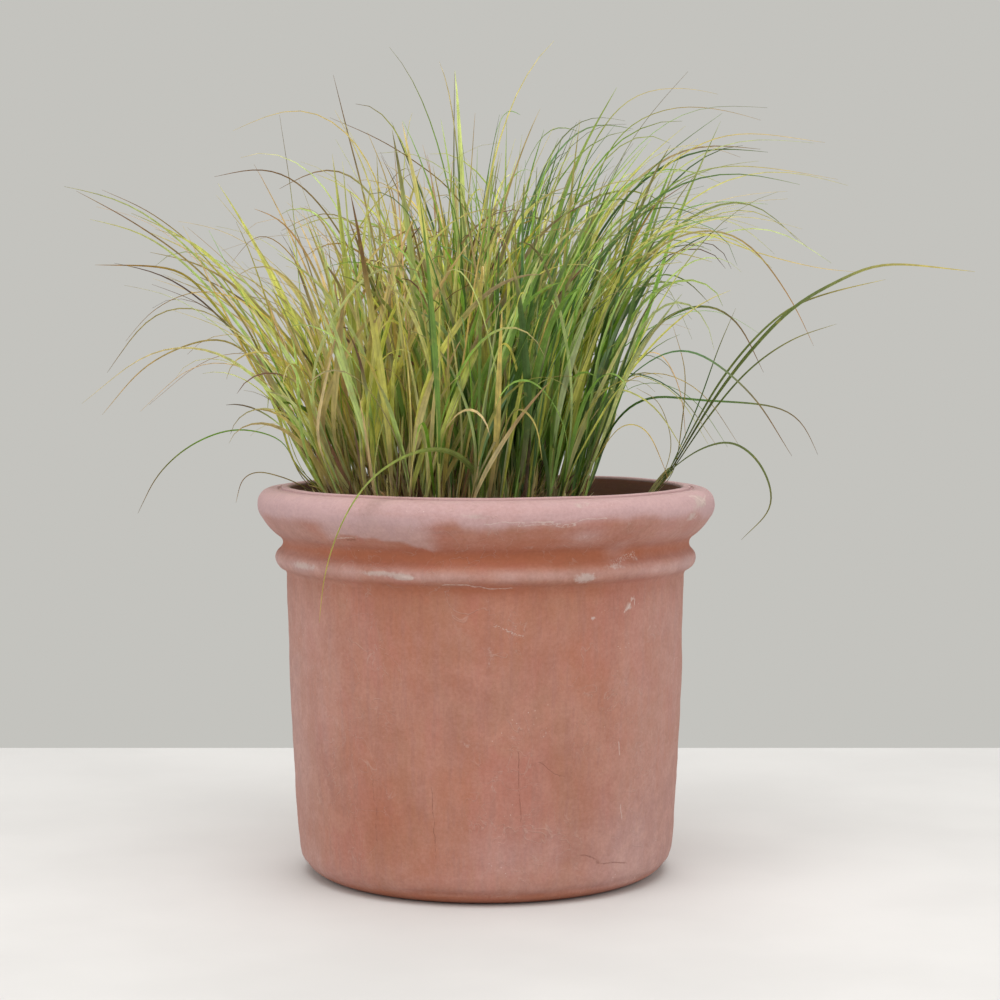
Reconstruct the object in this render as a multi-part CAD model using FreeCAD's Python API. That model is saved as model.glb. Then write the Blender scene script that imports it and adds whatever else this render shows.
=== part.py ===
"""Terracotta planter, 600 mm across its rolled rim, planted with an arching ornamental grass.

Millimetres, +Z up, origin at the centre of the pot's underside. The front of the pot faces -Y.
The pot, its drainage layers and fleece stay together; the planting lifts out along +Z.
"""
import FreeCAD, Part
import math
import os
import random

os.makedirs("parts", exist_ok=True)

V = FreeCAD.Vector
UP = V(0, 0, 1)

# ---------------------------------------------------------------- pot
POT_H = 510.0          # underside to flat lip
FOOT_R = 202.0         # flat underside
HEEL_R = 246.5         # where the rounded heel meets the wall
HEEL_Z = 34.0
WALL_MID = (255.5, 200.0)
WALL_TOP = (260.5, 394.0)
BEAD_R = 275.5         # raised band under the rim
BEAD_Z = 418.0
NECK_R = 266.3
NECK_Z = 436.0
RIM_R = 300.0          # widest point of the rolled rim
RIM_Z = 489.0
ROLL_R = 20.0          # radius of the roll's upper half
LIP_R = 257.0          # inner edge of the flat lip
GROOVE_R = 270.5       # turned groove between the lip and the roll
GROOVE_DEPTH = 1.6
BASE_T = 28.0          # thickness of the floor
CAVITY_LOW_R = 224.0   # inside of the wall near the floor
CAVITY_TOP_R = 240.0   # inside of the wall under the rim
HOLE_R = 15.0          # drain hole
HOLE_CHAMFER = 1.5     # inside the pot

# ---------------------------------------------------------------- drainage
GAP = 1.0              # clearance between the pot's inside and what fills it
CROCK_T = 9.0          # thickness of a broken shard
CROCK_ZONE_R = 148.0
GRAVEL_TOP = 76.0
FLEECE_T = 2.0

# ---------------------------------------------------------------- planting
COMPOST_TOP = 456.0
CLUMP_X = -40.0        # axis of the main clump, left of the pot's centre
CLUMP_R = 165.0
CROWN_H = 36.0
CROWN_SIDE = 0.22      # share of a crown's height that is its upright edge
BALL_R = 150.0
BALL_DEPTH = 200.0
SIDE_X, SIDE_Y = 196.0, -56.0
SIDE_R = 13.0
SIDE_DEPTH = 80.0
SPLIT = 1.0            # gap between the two plants that make up the clump
TILLER_R = 3.6
TILLER_COUNT = 100
LEAN = 0.0032          # how much further out a sheath gets, per mm of height
BLADE_T = 1.0

random.seed(42)


def arc(a, b, c):
    return Part.Arc(V(a[0], 0, a[1]), V(b[0], 0, b[1]), V(c[0], 0, c[1])).toShape()


def seg(a, b):
    return Part.makeLine(V(a[0], 0, a[1]), V(b[0], 0, b[1]))


def revolve(edges):
    """Solid of revolution about Z from a closed outline in the XZ half plane."""
    face = Part.Face(Part.Wire(edges))
    solid = face.revolve(V(0, 0, 0), UP, 360)
    return solid if solid.ShapeType == "Solid" else solid.Solids[0]


def export(name, shapes):
    shape = shapes[0] if len(shapes) == 1 else Part.makeCompound(shapes)
    for number, solid in enumerate(shape.Solids):
        if not solid.isValid() or solid.Volume <= 0:
            print("check", name, number, "valid", solid.isValid(), "volume", solid.Volume)
    shape.exportStep("parts/%s.step" % name)
    box = shape.optimalBoundingBox(True, False)
    print("%-22s solids %3d  volume %10.1f cm3  x %6.0f..%-6.0f y %6.0f..%-6.0f z %5.0f..%-5.0f" % (
        name, len(shape.Solids), shape.Volume / 1000,
        box.XMin, box.XMax, box.YMin, box.YMax, box.ZMin, box.ZMax))


# ================================================================ pot
def make_pot():
    c = HOLE_CHAMFER
    heel_mid = (FOOT_R + (HEEL_R - FOOT_R) * 0.707, HEEL_Z * 0.293)
    roll_c = RIM_R - ROLL_R
    roll_top = (roll_c, RIM_Z + ROLL_R + 0.5)
    roll_mid = (roll_c + ROLL_R * 0.707, RIM_Z + ROLL_R * 0.72)
    lip_in = (LIP_R + 3.5, POT_H)
    throat = (CAVITY_TOP_R, 430.0)
    g = 2.2
    outline = [
        seg((HOLE_R, 0), (FOOT_R, 0)),
        arc((FOOT_R, 0), heel_mid, (HEEL_R, HEEL_Z)),
        arc((HEEL_R, HEEL_Z), WALL_MID, WALL_TOP),
        arc(WALL_TOP, (262.3, 399.6), (267.5, 403.5)),
        arc((267.5, 403.5), (BEAD_R, BEAD_Z), (270.8, 427.5)),
        arc((270.8, 427.5), (NECK_R, NECK_Z), (271, 446)),
        arc((271, 446), (284.3, 457.5), (294.5, 471)),
        arc((294.5, 471), (298.9, 479.6), (RIM_R, RIM_Z)),
        arc((RIM_R, RIM_Z), roll_mid, roll_top),
        seg(roll_top, (GROOVE_R + g, POT_H)),
        arc((GROOVE_R + g, POT_H), (GROOVE_R, POT_H - GROOVE_DEPTH), (GROOVE_R - g, POT_H)),
        seg((GROOVE_R - g, POT_H), lip_in),
        arc(lip_in, (LIP_R + 0.9, POT_H - 1.2), (LIP_R, POT_H - 4)),
        arc((LIP_R, POT_H - 4), (247.5, 466), throat),
        arc(throat, (233.5, 230), (CAVITY_LOW_R, 60)),
        arc((CAVITY_LOW_R, 60), (216, 38), (194, BASE_T)),
        seg((194, BASE_T), (HOLE_R + c, BASE_T)),
        seg((HOLE_R + c, BASE_T), (HOLE_R, BASE_T - c)),
        seg((HOLE_R, BASE_T - c), (HOLE_R, 0)),
    ]
    return revolve(outline)


def cavity_radius(z):
    """Inside radius of the straight part of the pot's wall, by linear pieces kept inside the arc."""
    table = [(60.0, 224.0), (145.0, 228.9), (230.0, 233.4), (330.0, 237.2), (430.0, 240.0)]
    for (z0, r0), (z1, r1) in zip(table, table[1:]):
        if z <= z1:
            return r0 + (r1 - r0) * max(0.0, z - z0) / (z1 - z0)
    return table[-1][1]


# ================================================================ drainage
def shard(cx, cy, turn, bend_r, outline, z0):
    """Broken piece of a pot wall, arched upwards, its two long edges cut flat to stand on the floor."""
    reach = max(abs(p[0]) for p in outline)
    drop = math.sqrt((bend_r - CROCK_T) ** 2 - reach ** 2)
    shell = Part.makeCylinder(bend_r, 300, V(0, -150, -drop), V(0, 1, 0))
    shell = shell.cut(Part.makeCylinder(bend_r - CROCK_T, 300, V(0, -150, -drop), V(0, 1, 0)))
    points = [V(x, y, 0) for x, y in outline]
    prism = Part.Face(Part.makePolygon(points + [points[0]])).extrude(V(0, 0, 120))
    piece = shell.common(prism).Solids[0]
    piece.rotate(V(0, 0, 0), UP, turn)
    piece.translate(V(cx, cy, z0))
    return piece


def broken_outline(size, corners):
    points = []
    for k in range(corners):
        a = 2 * math.pi * (k + random.uniform(-0.22, 0.22)) / corners
        r = size * random.uniform(0.80, 1.0)
        points.append((r * math.cos(a), 0.8 * r * math.sin(a)))
    return points


def make_crocks():
    floor = BASE_T + 0.2
    cover = shard(0, 0, 20, 82.0, [(-44, -28), (10, -40), (43, -18), (44, 26), (6, 41), (-42, 30)], floor)
    others = []
    for k in range(8):
        a = math.radians(45 * k + random.uniform(-5, 5))
        r = 104.0 if k % 2 else 98.0
        outline = broken_outline(random.uniform(29, 34), 6)
        others.append(shard(r * math.cos(a), r * math.sin(a), math.degrees(a) + 90, 120.0, outline, floor))
    return cover, others


def make_gravel():
    """Pebble layer: it fills the floor's edge and bridges the crocks in the middle."""
    low = BASE_T + 0.3
    r_top = cavity_radius(GRAVEL_TOP) - GAP
    crocks_top = BASE_T + 26.0
    return revolve([
        seg((0, crocks_top), (CROCK_ZONE_R - 14, crocks_top)),
        seg((CROCK_ZONE_R - 14, crocks_top), (CROCK_ZONE_R, low)),
        seg((CROCK_ZONE_R, low), (193, low)),
        arc((193, low), (215, 38.6), (CAVITY_LOW_R - GAP, 61)),
        seg((CAVITY_LOW_R - GAP, 61), (r_top, GRAVEL_TOP)),
        seg((r_top, GRAVEL_TOP), (0, GRAVEL_TOP)),
        seg((0, GRAVEL_TOP), (0, crocks_top)),
    ])


# ================================================================ compost, roots and crowns
def root_outline(depth, radius, top, grow):
    return [
        seg((0, top - depth - grow), (radius * 0.45, top - depth - grow)),
        arc((radius * 0.45, top - depth - grow), (radius * 0.86 + grow, top - depth * 0.6),
            (radius + grow, top)),
        seg((radius + grow, top), (0, top)),
        seg((0, top), (0, top - depth - grow)),
    ]


def half_space(side):
    """Big box on the left (-1) or right (+1) of the line where the two plants meet."""
    size = 1500.0
    x = CLUMP_X - SPLIT / 2 - size if side < 0 else CLUMP_X + SPLIT / 2
    return Part.makeBox(size, size, size, V(x, -size / 2, -size / 4))


def make_roots():
    ball = revolve(root_outline(BALL_DEPTH, BALL_R, COMPOST_TOP, 0))
    ball.translate(V(CLUMP_X, 0, 0))
    side = revolve(root_outline(SIDE_DEPTH, SIDE_R + 6, COMPOST_TOP, 0))
    side.translate(V(SIDE_X, SIDE_Y, 0))
    return ball.common(half_space(-1)).Solids[0], ball.common(half_space(1)).Solids[0], side


def make_compost():
    low = GRAVEL_TOP + FLEECE_T + 0.8
    heights = [low, 145.0, 230.0, 330.0, 430.0, COMPOST_TOP]
    wall = [(cavity_radius(z) - GAP, z) for z in heights[:-1]] + [(240.0, COMPOST_TOP)]
    edges = [seg((0, low), wall[0])]
    edges += [seg(a, b) for a, b in zip(wall, wall[1:])]
    edges += [seg(wall[-1], (0, COMPOST_TOP)), seg((0, COMPOST_TOP), (0, low))]
    body = revolve(edges)
    hole = revolve(root_outline(BALL_DEPTH, BALL_R, COMPOST_TOP, 0.5))
    hole.translate(V(CLUMP_X, 0, 0))
    side = revolve(root_outline(SIDE_DEPTH, SIDE_R + 6, COMPOST_TOP, 0.5))
    side.translate(V(SIDE_X, SIDE_Y, 0))
    return body.cut(hole).cut(side).Solids[0]


def dome_radius(radius, height):
    rise = height * (1 - CROWN_SIDE)
    return (radius ** 2 + rise ** 2) / (2 * rise)


def crown(radius, height, x, y):
    """Low hummock of packed leaf bases standing on the compost."""
    z = COMPOST_TOP + 0.4
    side = height * CROWN_SIDE
    bend = dome_radius(radius, height)
    half = radius / 2
    mid = (half, z + height - bend + math.sqrt(bend ** 2 - half ** 2))
    dome = revolve([
        seg((0, z), (radius, z)),
        seg((radius, z), (radius, z + side)),
        arc((radius, z + side), mid, (0, z + height)),
        seg((0, z + height), (0, z)),
    ])
    dome.translate(V(x, y, 0))
    return dome


def crown_top(rho):
    """Height of the main crown's surface at a distance from its axis."""
    bend = dome_radius(CLUMP_R, CROWN_H)
    return COMPOST_TOP + 0.4 + CROWN_H - bend + math.sqrt(bend ** 2 - rho ** 2)


# ================================================================ grass
def place(phi, rho, z):
    """A point in the half plane at azimuth phi (degrees) about the clump's axis."""
    a = math.radians(phi)
    return V(CLUMP_X + rho * math.cos(a), rho * math.sin(a), z)


def blade(phi, points, width, stations=8):
    """Tapered leaf that follows points (rho, z) in one half plane about the clump's axis."""
    curve = Part.BSplineCurve()
    curve.interpolate([place(phi, rho, z) for rho, z in points])
    across = V(-math.sin(math.radians(phi)), math.cos(math.radians(phi)), 0)
    sections = []
    for k in range(stations):
        t = k / (stations - 1)
        u = curve.FirstParameter + t * (curve.LastParameter - curve.FirstParameter)
        at = curve.value(u)
        normal = V(*curve.tangent(u)[0]).cross(across).normalize()
        taper = min(1.0, 0.55 + 2.2 * t) * (1 - max(0.0, t - 0.35) ** 1.6 * 1.75)
        half_w = max(0.7, width / 2 * taper)
        half_t = BLADE_T / 2 * (1 - 0.4 * t)
        corners = [at + across * (i * half_w) + normal * (j * half_t)
                   for i, j in ((-1, -1), (1, -1), (1, 1), (-1, 1))]
        sections.append(Part.makePolygon(corners + [corners[0]]))
    solid = Part.makeLoft(sections, True, False).Solids[0]
    if solid.Volume < 0:
        solid.reverse()
    return solid


def tiller_tip(rho, length):
    """Where a leaf sheath of this length ends: the further out it stands, the more it leans."""
    return rho * (1 + LEAN * length), crown_top(rho) + length


def tiller(phi, rho, length):
    """Leaf sheath standing on the crown: a slim cone."""
    base = place(phi, rho, crown_top(rho) + 1.8)
    tip = place(phi, *tiller_tip(rho, length))
    axis = tip - base
    return Part.makeCone(TILLER_R, TILLER_R * 0.7, axis.Length, base, axis)


def arching(start, rho, s, height, hook):
    """Way points of a leaf above its sheath; s is 0 in the clump's middle and 1 at its edge."""
    slope = LEAN * rho
    turn = 1.55 + 0.55 * s
    points = [start]
    for t in (0.28, 0.52, 0.76, 1.0):
        out = start[0] + slope * height * t * (1 + 0.3 * t) + hook * t ** 4
        points.append((out, start[1] + height * math.sin(turn * t)))
    return points


# Leaves that give the clump its outline: azimuth, distance of the sheath, width, way points (rho, z).
OUTLINE_LEAVES = [
    (181, 146, 7, [(262, 700), (350, 820), (430, 880), (500, 900)]),
    (170, 150, 6, [(262, 670), (350, 760), (430, 800), (480, 790)]),
    (189, 152, 7, [(256, 640), (330, 700), (410, 690), (470, 612)]),
    (199, 154, 6, [(240, 600), (310, 630), (385, 580), (432, 470)]),
    (214, 154, 6, [(240, 606), (310, 622), (370, 570), (412, 500)]),
    (-122, 150, 8, [(212, 606), (248, 562), (276, 503), (288, 430), (290, 350)]),
    (-98, 152, 8, [(230, 620), (280, 630), (330, 590), (352, 540)]),
    (-58, 150, 7, [(230, 640), (310, 690), (380, 660), (420, 600)]),
    (26, 120, 6, [(220, 780), (300, 900), (380, 980), (440, 1005)]),
    (13, 126, 6, [(230, 760), (340, 880), (430, 940), (505, 957)]),
    (-3, 134, 7, [(240, 720), (350, 840), (440, 900), (525, 918)]),
    (-30, 150, 6, [(240, 640), (330, 690), (420, 640), (500, 545)]),
    (152, 130, 7, [(230, 780), (320, 900), (390, 960), (440, 990)]),
    (-163, 128, 6, [(225, 760), (310, 850), (390, 890), (460, 880)]),
]

# Leaves of the side shoot, which start at its tip.
SIDE_LEAVES = [
    (-13.2, 7, [(290, 538.5), (335, 600), (425, 710), (555, 797), (671, 787)]),
    (-15.6, 6, [(289, 533), (330, 562), (386, 560), (422, 505), (380, 434)]),
    (-10.8, 5, [(289, 536), (306, 640), (330, 730), (372, 800)]),
]


def quarter(phi):
    return ["right", "back", "left", "front"][int(((phi + 45) % 360) // 90)]


def turn_between(a, b):
    return abs((a - b + 180) % 360 - 180)


def make_grass():
    tillers = {"left": [], "right": []}
    blades = {"left": [], "right": [], "front": [], "back": []}
    feet = []

    def stand(phi, rho, length):
        foot = place(phi, rho, 0)
        feet.append(foot)
        tillers["left" if foot.x < CLUMP_X else "right"].append(tiller(phi, rho, length))

    for phi, rho, width, points in OUTLINE_LEAVES:
        length = 78.0
        stand(phi, rho, length)
        out, top = tiller_tip(rho, length)
        blades[quarter(phi)].append(blade(phi, [(out, top + 2.0)] + points, width))

    for k in range(TILLER_COUNT):
        phi = (k * 137.508 + 20) % 360
        s = math.sqrt((k + 0.5) / TILLER_COUNT)
        rho = 8 + s * (CLUMP_R - 22)
        foot = place(phi, rho, 0)
        if abs(foot.x - CLUMP_X) < TILLER_R + 2 or min((foot - f).Length for f in feet) < 10:
            continue
        length = random.uniform(95, 125) * (1 - 0.25 * s)
        stand(phi, rho, length)
        near_outline = min(turn_between(phi, leaf[0]) for leaf in OUTLINE_LEAVES) < 2.7
        near_side_shoot = turn_between(phi, SIDE_LEAVES[0][0]) < 8 and s > 0.45
        if near_outline or near_side_shoot:
            continue
        out, top = tiller_tip(rho, length)
        height = 440 - 190 * s ** 2 + random.uniform(-35, 35)
        points = arching((out, top + 2.0), rho, s, height, random.uniform(40, 110))
        blades[quarter(phi)].append(blade(phi, points, random.uniform(5, 8)))
    return tillers, blades


def make_side_shoot():
    base = V(SIDE_X, SIDE_Y, COMPOST_TOP + 18.5)
    tip = place(SIDE_LEAVES[0][0], 289, 535)
    stem = Part.makeCone(6.5, 3.4, (tip - base).Length, base, tip - base)
    return stem, [blade(phi, points, width) for phi, width, points in SIDE_LEAVES]


# ================================================================ build and export
export("pot", [make_pot()])
drain_crock, shards = make_crocks()
export("drain_crock", [drain_crock])
export("crock_shards", shards)
export("drainage_gravel", [make_gravel()])
fleece_r = cavity_radius(GRAVEL_TOP + FLEECE_T) - GAP
export("filter_fleece", [Part.makeCylinder(fleece_r, FLEECE_T, V(0, 0, GRAVEL_TOP + 0.3))])

export("compost", [make_compost()])
ball_left, ball_right, ball_side = make_roots()
export("root_ball_left", [ball_left])
export("root_ball_right", [ball_right])
export("root_ball_side", [ball_side])
main_crown = crown(CLUMP_R, CROWN_H, CLUMP_X, 0)
export("crown_left", [main_crown.common(half_space(-1)).Solids[0]])
export("crown_right", [main_crown.common(half_space(1)).Solids[0]])
export("crown_side", [crown(SIDE_R, 12.0, SIDE_X, SIDE_Y)])

all_tillers, all_blades = make_grass()
export("tillers_left", all_tillers["left"])
export("tillers_right", all_tillers["right"])
for side, leaves in all_blades.items():
    export("leaf_blades_" + side, leaves)
side_stem, side_leaves = make_side_shoot()
export("side_shoot", [side_stem])
export("side_shoot_blades", side_leaves)
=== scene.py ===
"""Looks of the planted terracotta pot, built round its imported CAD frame. Metres, +Z up, front towards -Y."""
import math

import bmesh
import bpy
import numpy as np
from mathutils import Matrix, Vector


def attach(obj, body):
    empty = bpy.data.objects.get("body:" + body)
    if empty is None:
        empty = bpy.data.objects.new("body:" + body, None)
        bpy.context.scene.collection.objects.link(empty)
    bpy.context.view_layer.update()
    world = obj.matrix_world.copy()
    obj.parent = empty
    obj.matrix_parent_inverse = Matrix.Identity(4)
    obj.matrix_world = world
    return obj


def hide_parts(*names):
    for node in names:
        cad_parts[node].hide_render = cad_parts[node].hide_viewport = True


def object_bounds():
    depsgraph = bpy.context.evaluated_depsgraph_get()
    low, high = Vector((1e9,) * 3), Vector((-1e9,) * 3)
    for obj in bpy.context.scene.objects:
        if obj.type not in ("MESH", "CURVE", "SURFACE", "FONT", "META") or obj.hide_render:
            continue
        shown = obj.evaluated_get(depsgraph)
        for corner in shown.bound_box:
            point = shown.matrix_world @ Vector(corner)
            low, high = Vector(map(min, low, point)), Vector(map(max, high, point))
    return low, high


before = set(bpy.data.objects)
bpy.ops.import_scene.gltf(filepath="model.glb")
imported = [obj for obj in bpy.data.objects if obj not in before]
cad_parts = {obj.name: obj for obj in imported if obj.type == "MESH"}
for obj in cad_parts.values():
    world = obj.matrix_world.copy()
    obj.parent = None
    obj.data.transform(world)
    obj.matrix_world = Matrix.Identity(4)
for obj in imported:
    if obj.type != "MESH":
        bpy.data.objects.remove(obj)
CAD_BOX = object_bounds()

MM = 0.001
rng = np.random.default_rng(7)


# ------------------------------------------------------------------ numbers
def lattice(ix, iy, iz, seed):
    """Repeatable random numbers from 0 to 1 at whole-number grid points."""
    h = (ix * 374761393 + iy * 668265263 + iz * 2147483647 + seed * 974634777) & 0xFFFFFFFF
    h = ((h ^ (h >> 13)) * 1274126177) & 0xFFFFFFFF
    h = ((h ^ (h >> 16)) * 2246822519) & 0xFFFFFFFF
    return ((h ^ (h >> 15)) & 0xFFFFFF) / float(0xFFFFFF)


def value_noise(p, seed):
    """Smooth noise from -1 to 1 at the points p, an array of shape (n, 3)."""
    i = np.floor(p).astype(np.int64)
    f = p - i
    f = f * f * f * (f * (f * 6 - 15) + 10)
    total = np.zeros(len(p))
    for dx in (0, 1):
        for dy in (0, 1):
            for dz in (0, 1):
                w = (f[:, 0] if dx else 1 - f[:, 0]) * (f[:, 1] if dy else 1 - f[:, 1])
                w = w * (f[:, 2] if dz else 1 - f[:, 2])
                total += w * lattice(i[:, 0] + dx, i[:, 1] + dy, i[:, 2] + dz, seed)
    return total * 2 - 1


def fbm(p, octaves, seed):
    """Several octaves of noise, each twice as fine and half as strong as the one before."""
    total = np.zeros(len(p))
    for k in range(octaves):
        total += 0.5 ** k * value_noise(p * 2.0 ** k, seed + 17 * k)
    return total


def smooth(x, a, b):
    """Smooth step from 0 at a to 1 at b."""
    t = np.clip((x - a) / (b - a), 0, 1)
    return t * t * (3 - 2 * t)


# ------------------------------------------------------------------ meshes
def smooth_object(name, mesh):
    """A new object in the scene for a mesh, shaded smoothly."""
    mesh.update()
    mesh.polygons.foreach_set("use_smooth", [True] * len(mesh.polygons))
    obj = bpy.data.objects.new(name, mesh)
    bpy.context.scene.collection.objects.link(obj)
    return obj


def mesh_object(name, verts, faces, body):
    """A smooth mesh that rides on a body."""
    mesh = bpy.data.meshes.new(name)
    mesh.from_pydata([tuple(v) for v in verts], [], faces)
    mesh.validate()
    obj = smooth_object(name, mesh)
    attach(obj, body)
    return obj


def paint(obj, name, values):
    """Stores a colour per vertex; values is an array of shape (n, 3) or (n, 4)."""
    values = np.asarray(values, np.float32)
    if values.shape[1] == 3:
        values = np.hstack([values, np.ones((len(values), 1), np.float32)])
    layer = obj.data.color_attributes.new(name, "FLOAT_COLOR", "POINT")
    layer.data.foreach_set("color", values.ravel())


def arc_points(a, b, c, n):
    """n points along the circle through a, b and c, from a to c, without c."""
    (ax, ay), (bx, by), (cx, cy) = a, b, c
    d = 2 * (ax * (by - cy) + bx * (cy - ay) + cx * (ay - by))
    a2, b2, c2 = ax * ax + ay * ay, bx * bx + by * by, cx * cx + cy * cy
    ux = (a2 * (by - cy) + b2 * (cy - ay) + c2 * (ay - by)) / d
    uy = (a2 * (cx - bx) + b2 * (ax - cx) + c2 * (bx - ax)) / d
    r = math.hypot(ax - ux, ay - uy)
    t0, t1, t2 = (math.atan2(y - uy, x - ux) for x, y in (a, b, c))
    while t2 < t0:
        t2 += 2 * math.pi
    while t1 < t0:
        t1 += 2 * math.pi
    if t1 > t2:
        t2 -= 2 * math.pi
    return [(ux + r * math.cos(t0 + (t2 - t0) * k / n), uy + r * math.sin(t0 + (t2 - t0) * k / n))
            for k in range(n)]


def line_points(a, b, n):
    """n points along the line from a to b, without b."""
    return [(a[0] + (b[0] - a[0]) * k / n, a[1] + (b[1] - a[1]) * k / n) for k in range(n)]


def revolve_faces(rows, columns, closed):
    """Quads of a grid whose rows run round the axis; closed also joins the last row to the first."""
    faces = []
    for i in range(rows if closed else rows - 1):
        a, b = i * columns, ((i + 1) % rows) * columns
        for j in range(columns):
            k = (j + 1) % columns
            faces.append((a + j, a + k, b + k, b + j))
    return faces


# ------------------------------------------------------------------ materials
class Graph:
    """Small helper that builds the nodes of one procedural material."""

    def __init__(self, name, roughness=0.8, specular=0.3, **sockets):
        self.material = bpy.data.materials.new(name)
        self.material.use_nodes = True
        self.tree = self.material.node_tree
        self.shader = self.tree.nodes["Principled BSDF"]
        self.shader.inputs["Roughness"].default_value = roughness
        self.shader.inputs["Specular IOR Level"].default_value = specular
        for key, value in sockets.items():
            self.shader.inputs[key.replace("_", " ")].default_value = value
        self.place = self.node("ShaderNodeTexCoord").outputs["Object"]

    def node(self, kind, **settings):
        made = self.tree.nodes.new(kind)
        for key, value in settings.items():
            setattr(made, key, value)
        return made

    def put(self, socket, value):
        if isinstance(value, bpy.types.NodeSocket):
            self.tree.links.new(value, socket)
        elif isinstance(value, (tuple, list)) and len(value) == 3 and socket.type == "RGBA":
            socket.default_value = (*value, 1)
        else:
            socket.default_value = value

    def math(self, operation, a, b=0.0):
        made = self.node("ShaderNodeMath", operation=operation)
        self.put(made.inputs[0], a)
        self.put(made.inputs[1], b)
        return made.outputs[0]

    def scaled(self, x, y, z, move=(0, 0, 0)):
        made = self.node("ShaderNodeMapping")
        self.put(made.inputs["Vector"], self.place)
        made.inputs["Scale"].default_value = (x, y, z)
        made.inputs["Location"].default_value = move
        return made.outputs[0]

    def noise(self, scale, detail=4.0, rough=0.5, source=None, distortion=0.0, w=None):
        made = self.node("ShaderNodeTexNoise")
        if w is not None:
            made.noise_dimensions = "4D"
            self.put(made.inputs["W"], w)
        self.put(made.inputs["Vector"], source or self.place)
        made.inputs["Scale"].default_value = scale
        made.inputs["Detail"].default_value = detail
        made.inputs["Roughness"].default_value = rough
        made.inputs["Distortion"].default_value = distortion
        return made.outputs["Fac"]

    def cells(self, scale, feature="F1", source=None):
        made = self.node("ShaderNodeTexVoronoi", feature=feature)
        self.put(made.inputs["Vector"], source or self.place)
        made.inputs["Scale"].default_value = scale
        return made.outputs["Distance"]

    def line(self, name):
        """Mask of the marks stored per vertex as (signed distance, inside the length, half width)."""
        parts = self.split(self.attribute(name).outputs["Color"])
        wander = self.math("MULTIPLY", self.math("SUBTRACT", self.noise(75, 3, 0.6), 0.5), 5.0)
        away = self.math("ABSOLUTE", self.math("ADD", parts[0], wander))
        across = self.window(self.math("DIVIDE", away, self.math("MAXIMUM", parts[2], 0.1)), 1.8, 0.5)
        return self.math("MULTIPLY", across, self.window(parts[1], 0.25, 0.75))

    def window(self, value, low, high, to_low=0.0, to_high=1.0):
        """Smooth step of a value between two levels."""
        made = self.node("ShaderNodeMapRange", interpolation_type="SMOOTHSTEP")
        self.put(made.inputs["Value"], value)
        for key, number in (("From Min", low), ("From Max", high), ("To Min", to_low), ("To Max", to_high)):
            made.inputs[key].default_value = number
        return made.outputs[0]

    def mix(self, factor, a, b, blend="MIX"):
        made = self.node("ShaderNodeMix", data_type="RGBA", blend_type=blend)
        self.put(made.inputs[0], factor)
        self.put(made.inputs[6], a)
        self.put(made.inputs[7], b)
        return made.outputs[2]

    def ramp(self, factor, *stops):
        made = self.node("ShaderNodeValToRGB")
        self.put(made.inputs[0], factor)
        elements = made.color_ramp.elements
        while len(elements) < len(stops):
            elements.new(0.5)
        for element, (at, colour) in zip(elements, stops):
            element.position = at
            element.color = (*colour, 1)
        return made.outputs[0]

    def shade(self, colour, tone):
        """Colour made darker or lighter by a grey tone."""
        grey = self.node("ShaderNodeCombineXYZ")
        for socket in grey.inputs:
            self.put(socket, tone)
        return self.mix(1.0, colour, grey.outputs[0], "MULTIPLY")

    def share(self, value, part):
        return self.math("MULTIPLY", value, part)

    def total(self, first, *layers):
        """A value with shares of other values added, each as (value, share)."""
        for value, part in layers:
            first = self.math("ADD", first, self.share(value, part))
        return first

    def centred(self, value):
        return self.math("SUBTRACT", value, 0.5)

    def attribute(self, name):
        return self.node("ShaderNodeAttribute", attribute_name=name)

    def split(self, colour):
        made = self.node("ShaderNodeSeparateColor")
        self.put(made.inputs[0], colour)
        return made.outputs

    def axes(self):
        made = self.node("ShaderNodeSeparateXYZ")
        self.put(made.inputs[0], self.place)
        return made.outputs

    def bump(self, height, strength, distance, normal=None):
        made = self.node("ShaderNodeBump")
        self.put(made.inputs["Height"], height)
        made.inputs["Strength"].default_value = strength
        made.inputs["Distance"].default_value = distance
        if normal is not None:
            self.put(made.inputs["Normal"], normal)
        return made.outputs[0]

    def finish(self, colour, normal=None, roughness=None):
        self.put(self.shader.inputs["Base Color"], colour)
        if normal is not None:
            self.put(self.shader.inputs["Normal"], normal)
        if roughness is not None:
            self.put(self.shader.inputs["Roughness"], roughness)
        return self.material


def wear(obj, material):
    obj.data.materials.clear()
    obj.data.materials.append(material)


# ------------------------------------------------------------------ terracotta
WALL_R = 262.0         # mean radius in mm, used to unroll the wall
MARK_REACH = 13        # mm beyond which a point stores no mark
MARK_FADE = 4.0        # mm over which a mark fades past its ends

# Marks on the wall: angle from the front (degrees, right positive) and height (mm) of each end, and the half
# width (mm).
SCUFFS = [
    (0.4, 482.6, 29.4, 483.3, 0.45), (8, 478.5, 22, 479.5, 0.35), (-39.5, 457.8, -33.6, 459.3, 0.5),
    (-10.7, 402.1, 7.0, 401.7, 0.55), (42.8, 118.2, 42.9, 101.7, 0.6), (40.9, 198.9, 41.0, 185.1, 0.6),
    (44.9, 377.3, 42.4, 363.1, 1.0), (46.0, 372, 45.2, 380, 0.8), (62.3, 506.0, 69.7, 490.9, 0.9),
    (66.4, 492.0, 72.8, 501.5, 0.8), (-21.5, 411.5, -19.0, 410.5, 1.5), (118, 300, 121, 262, 0.6),
    (164, 388, 173, 352, 0.7), (-150, 240, -148, 225, 0.9), (-96, 130, -95, 96, 0.6),
    (-120, 486, -108, 484, 0.5), (140, 484, 158, 483, 0.5),
]
DOTTED = [
    (2.9, 355.9, 10.5, 340.7, 1.3), (36, 427, 44, 436, 2.5), (-150, 330, -141, 318, 1.4),
    (95, 180, 101, 190, 1.4),
]
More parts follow.
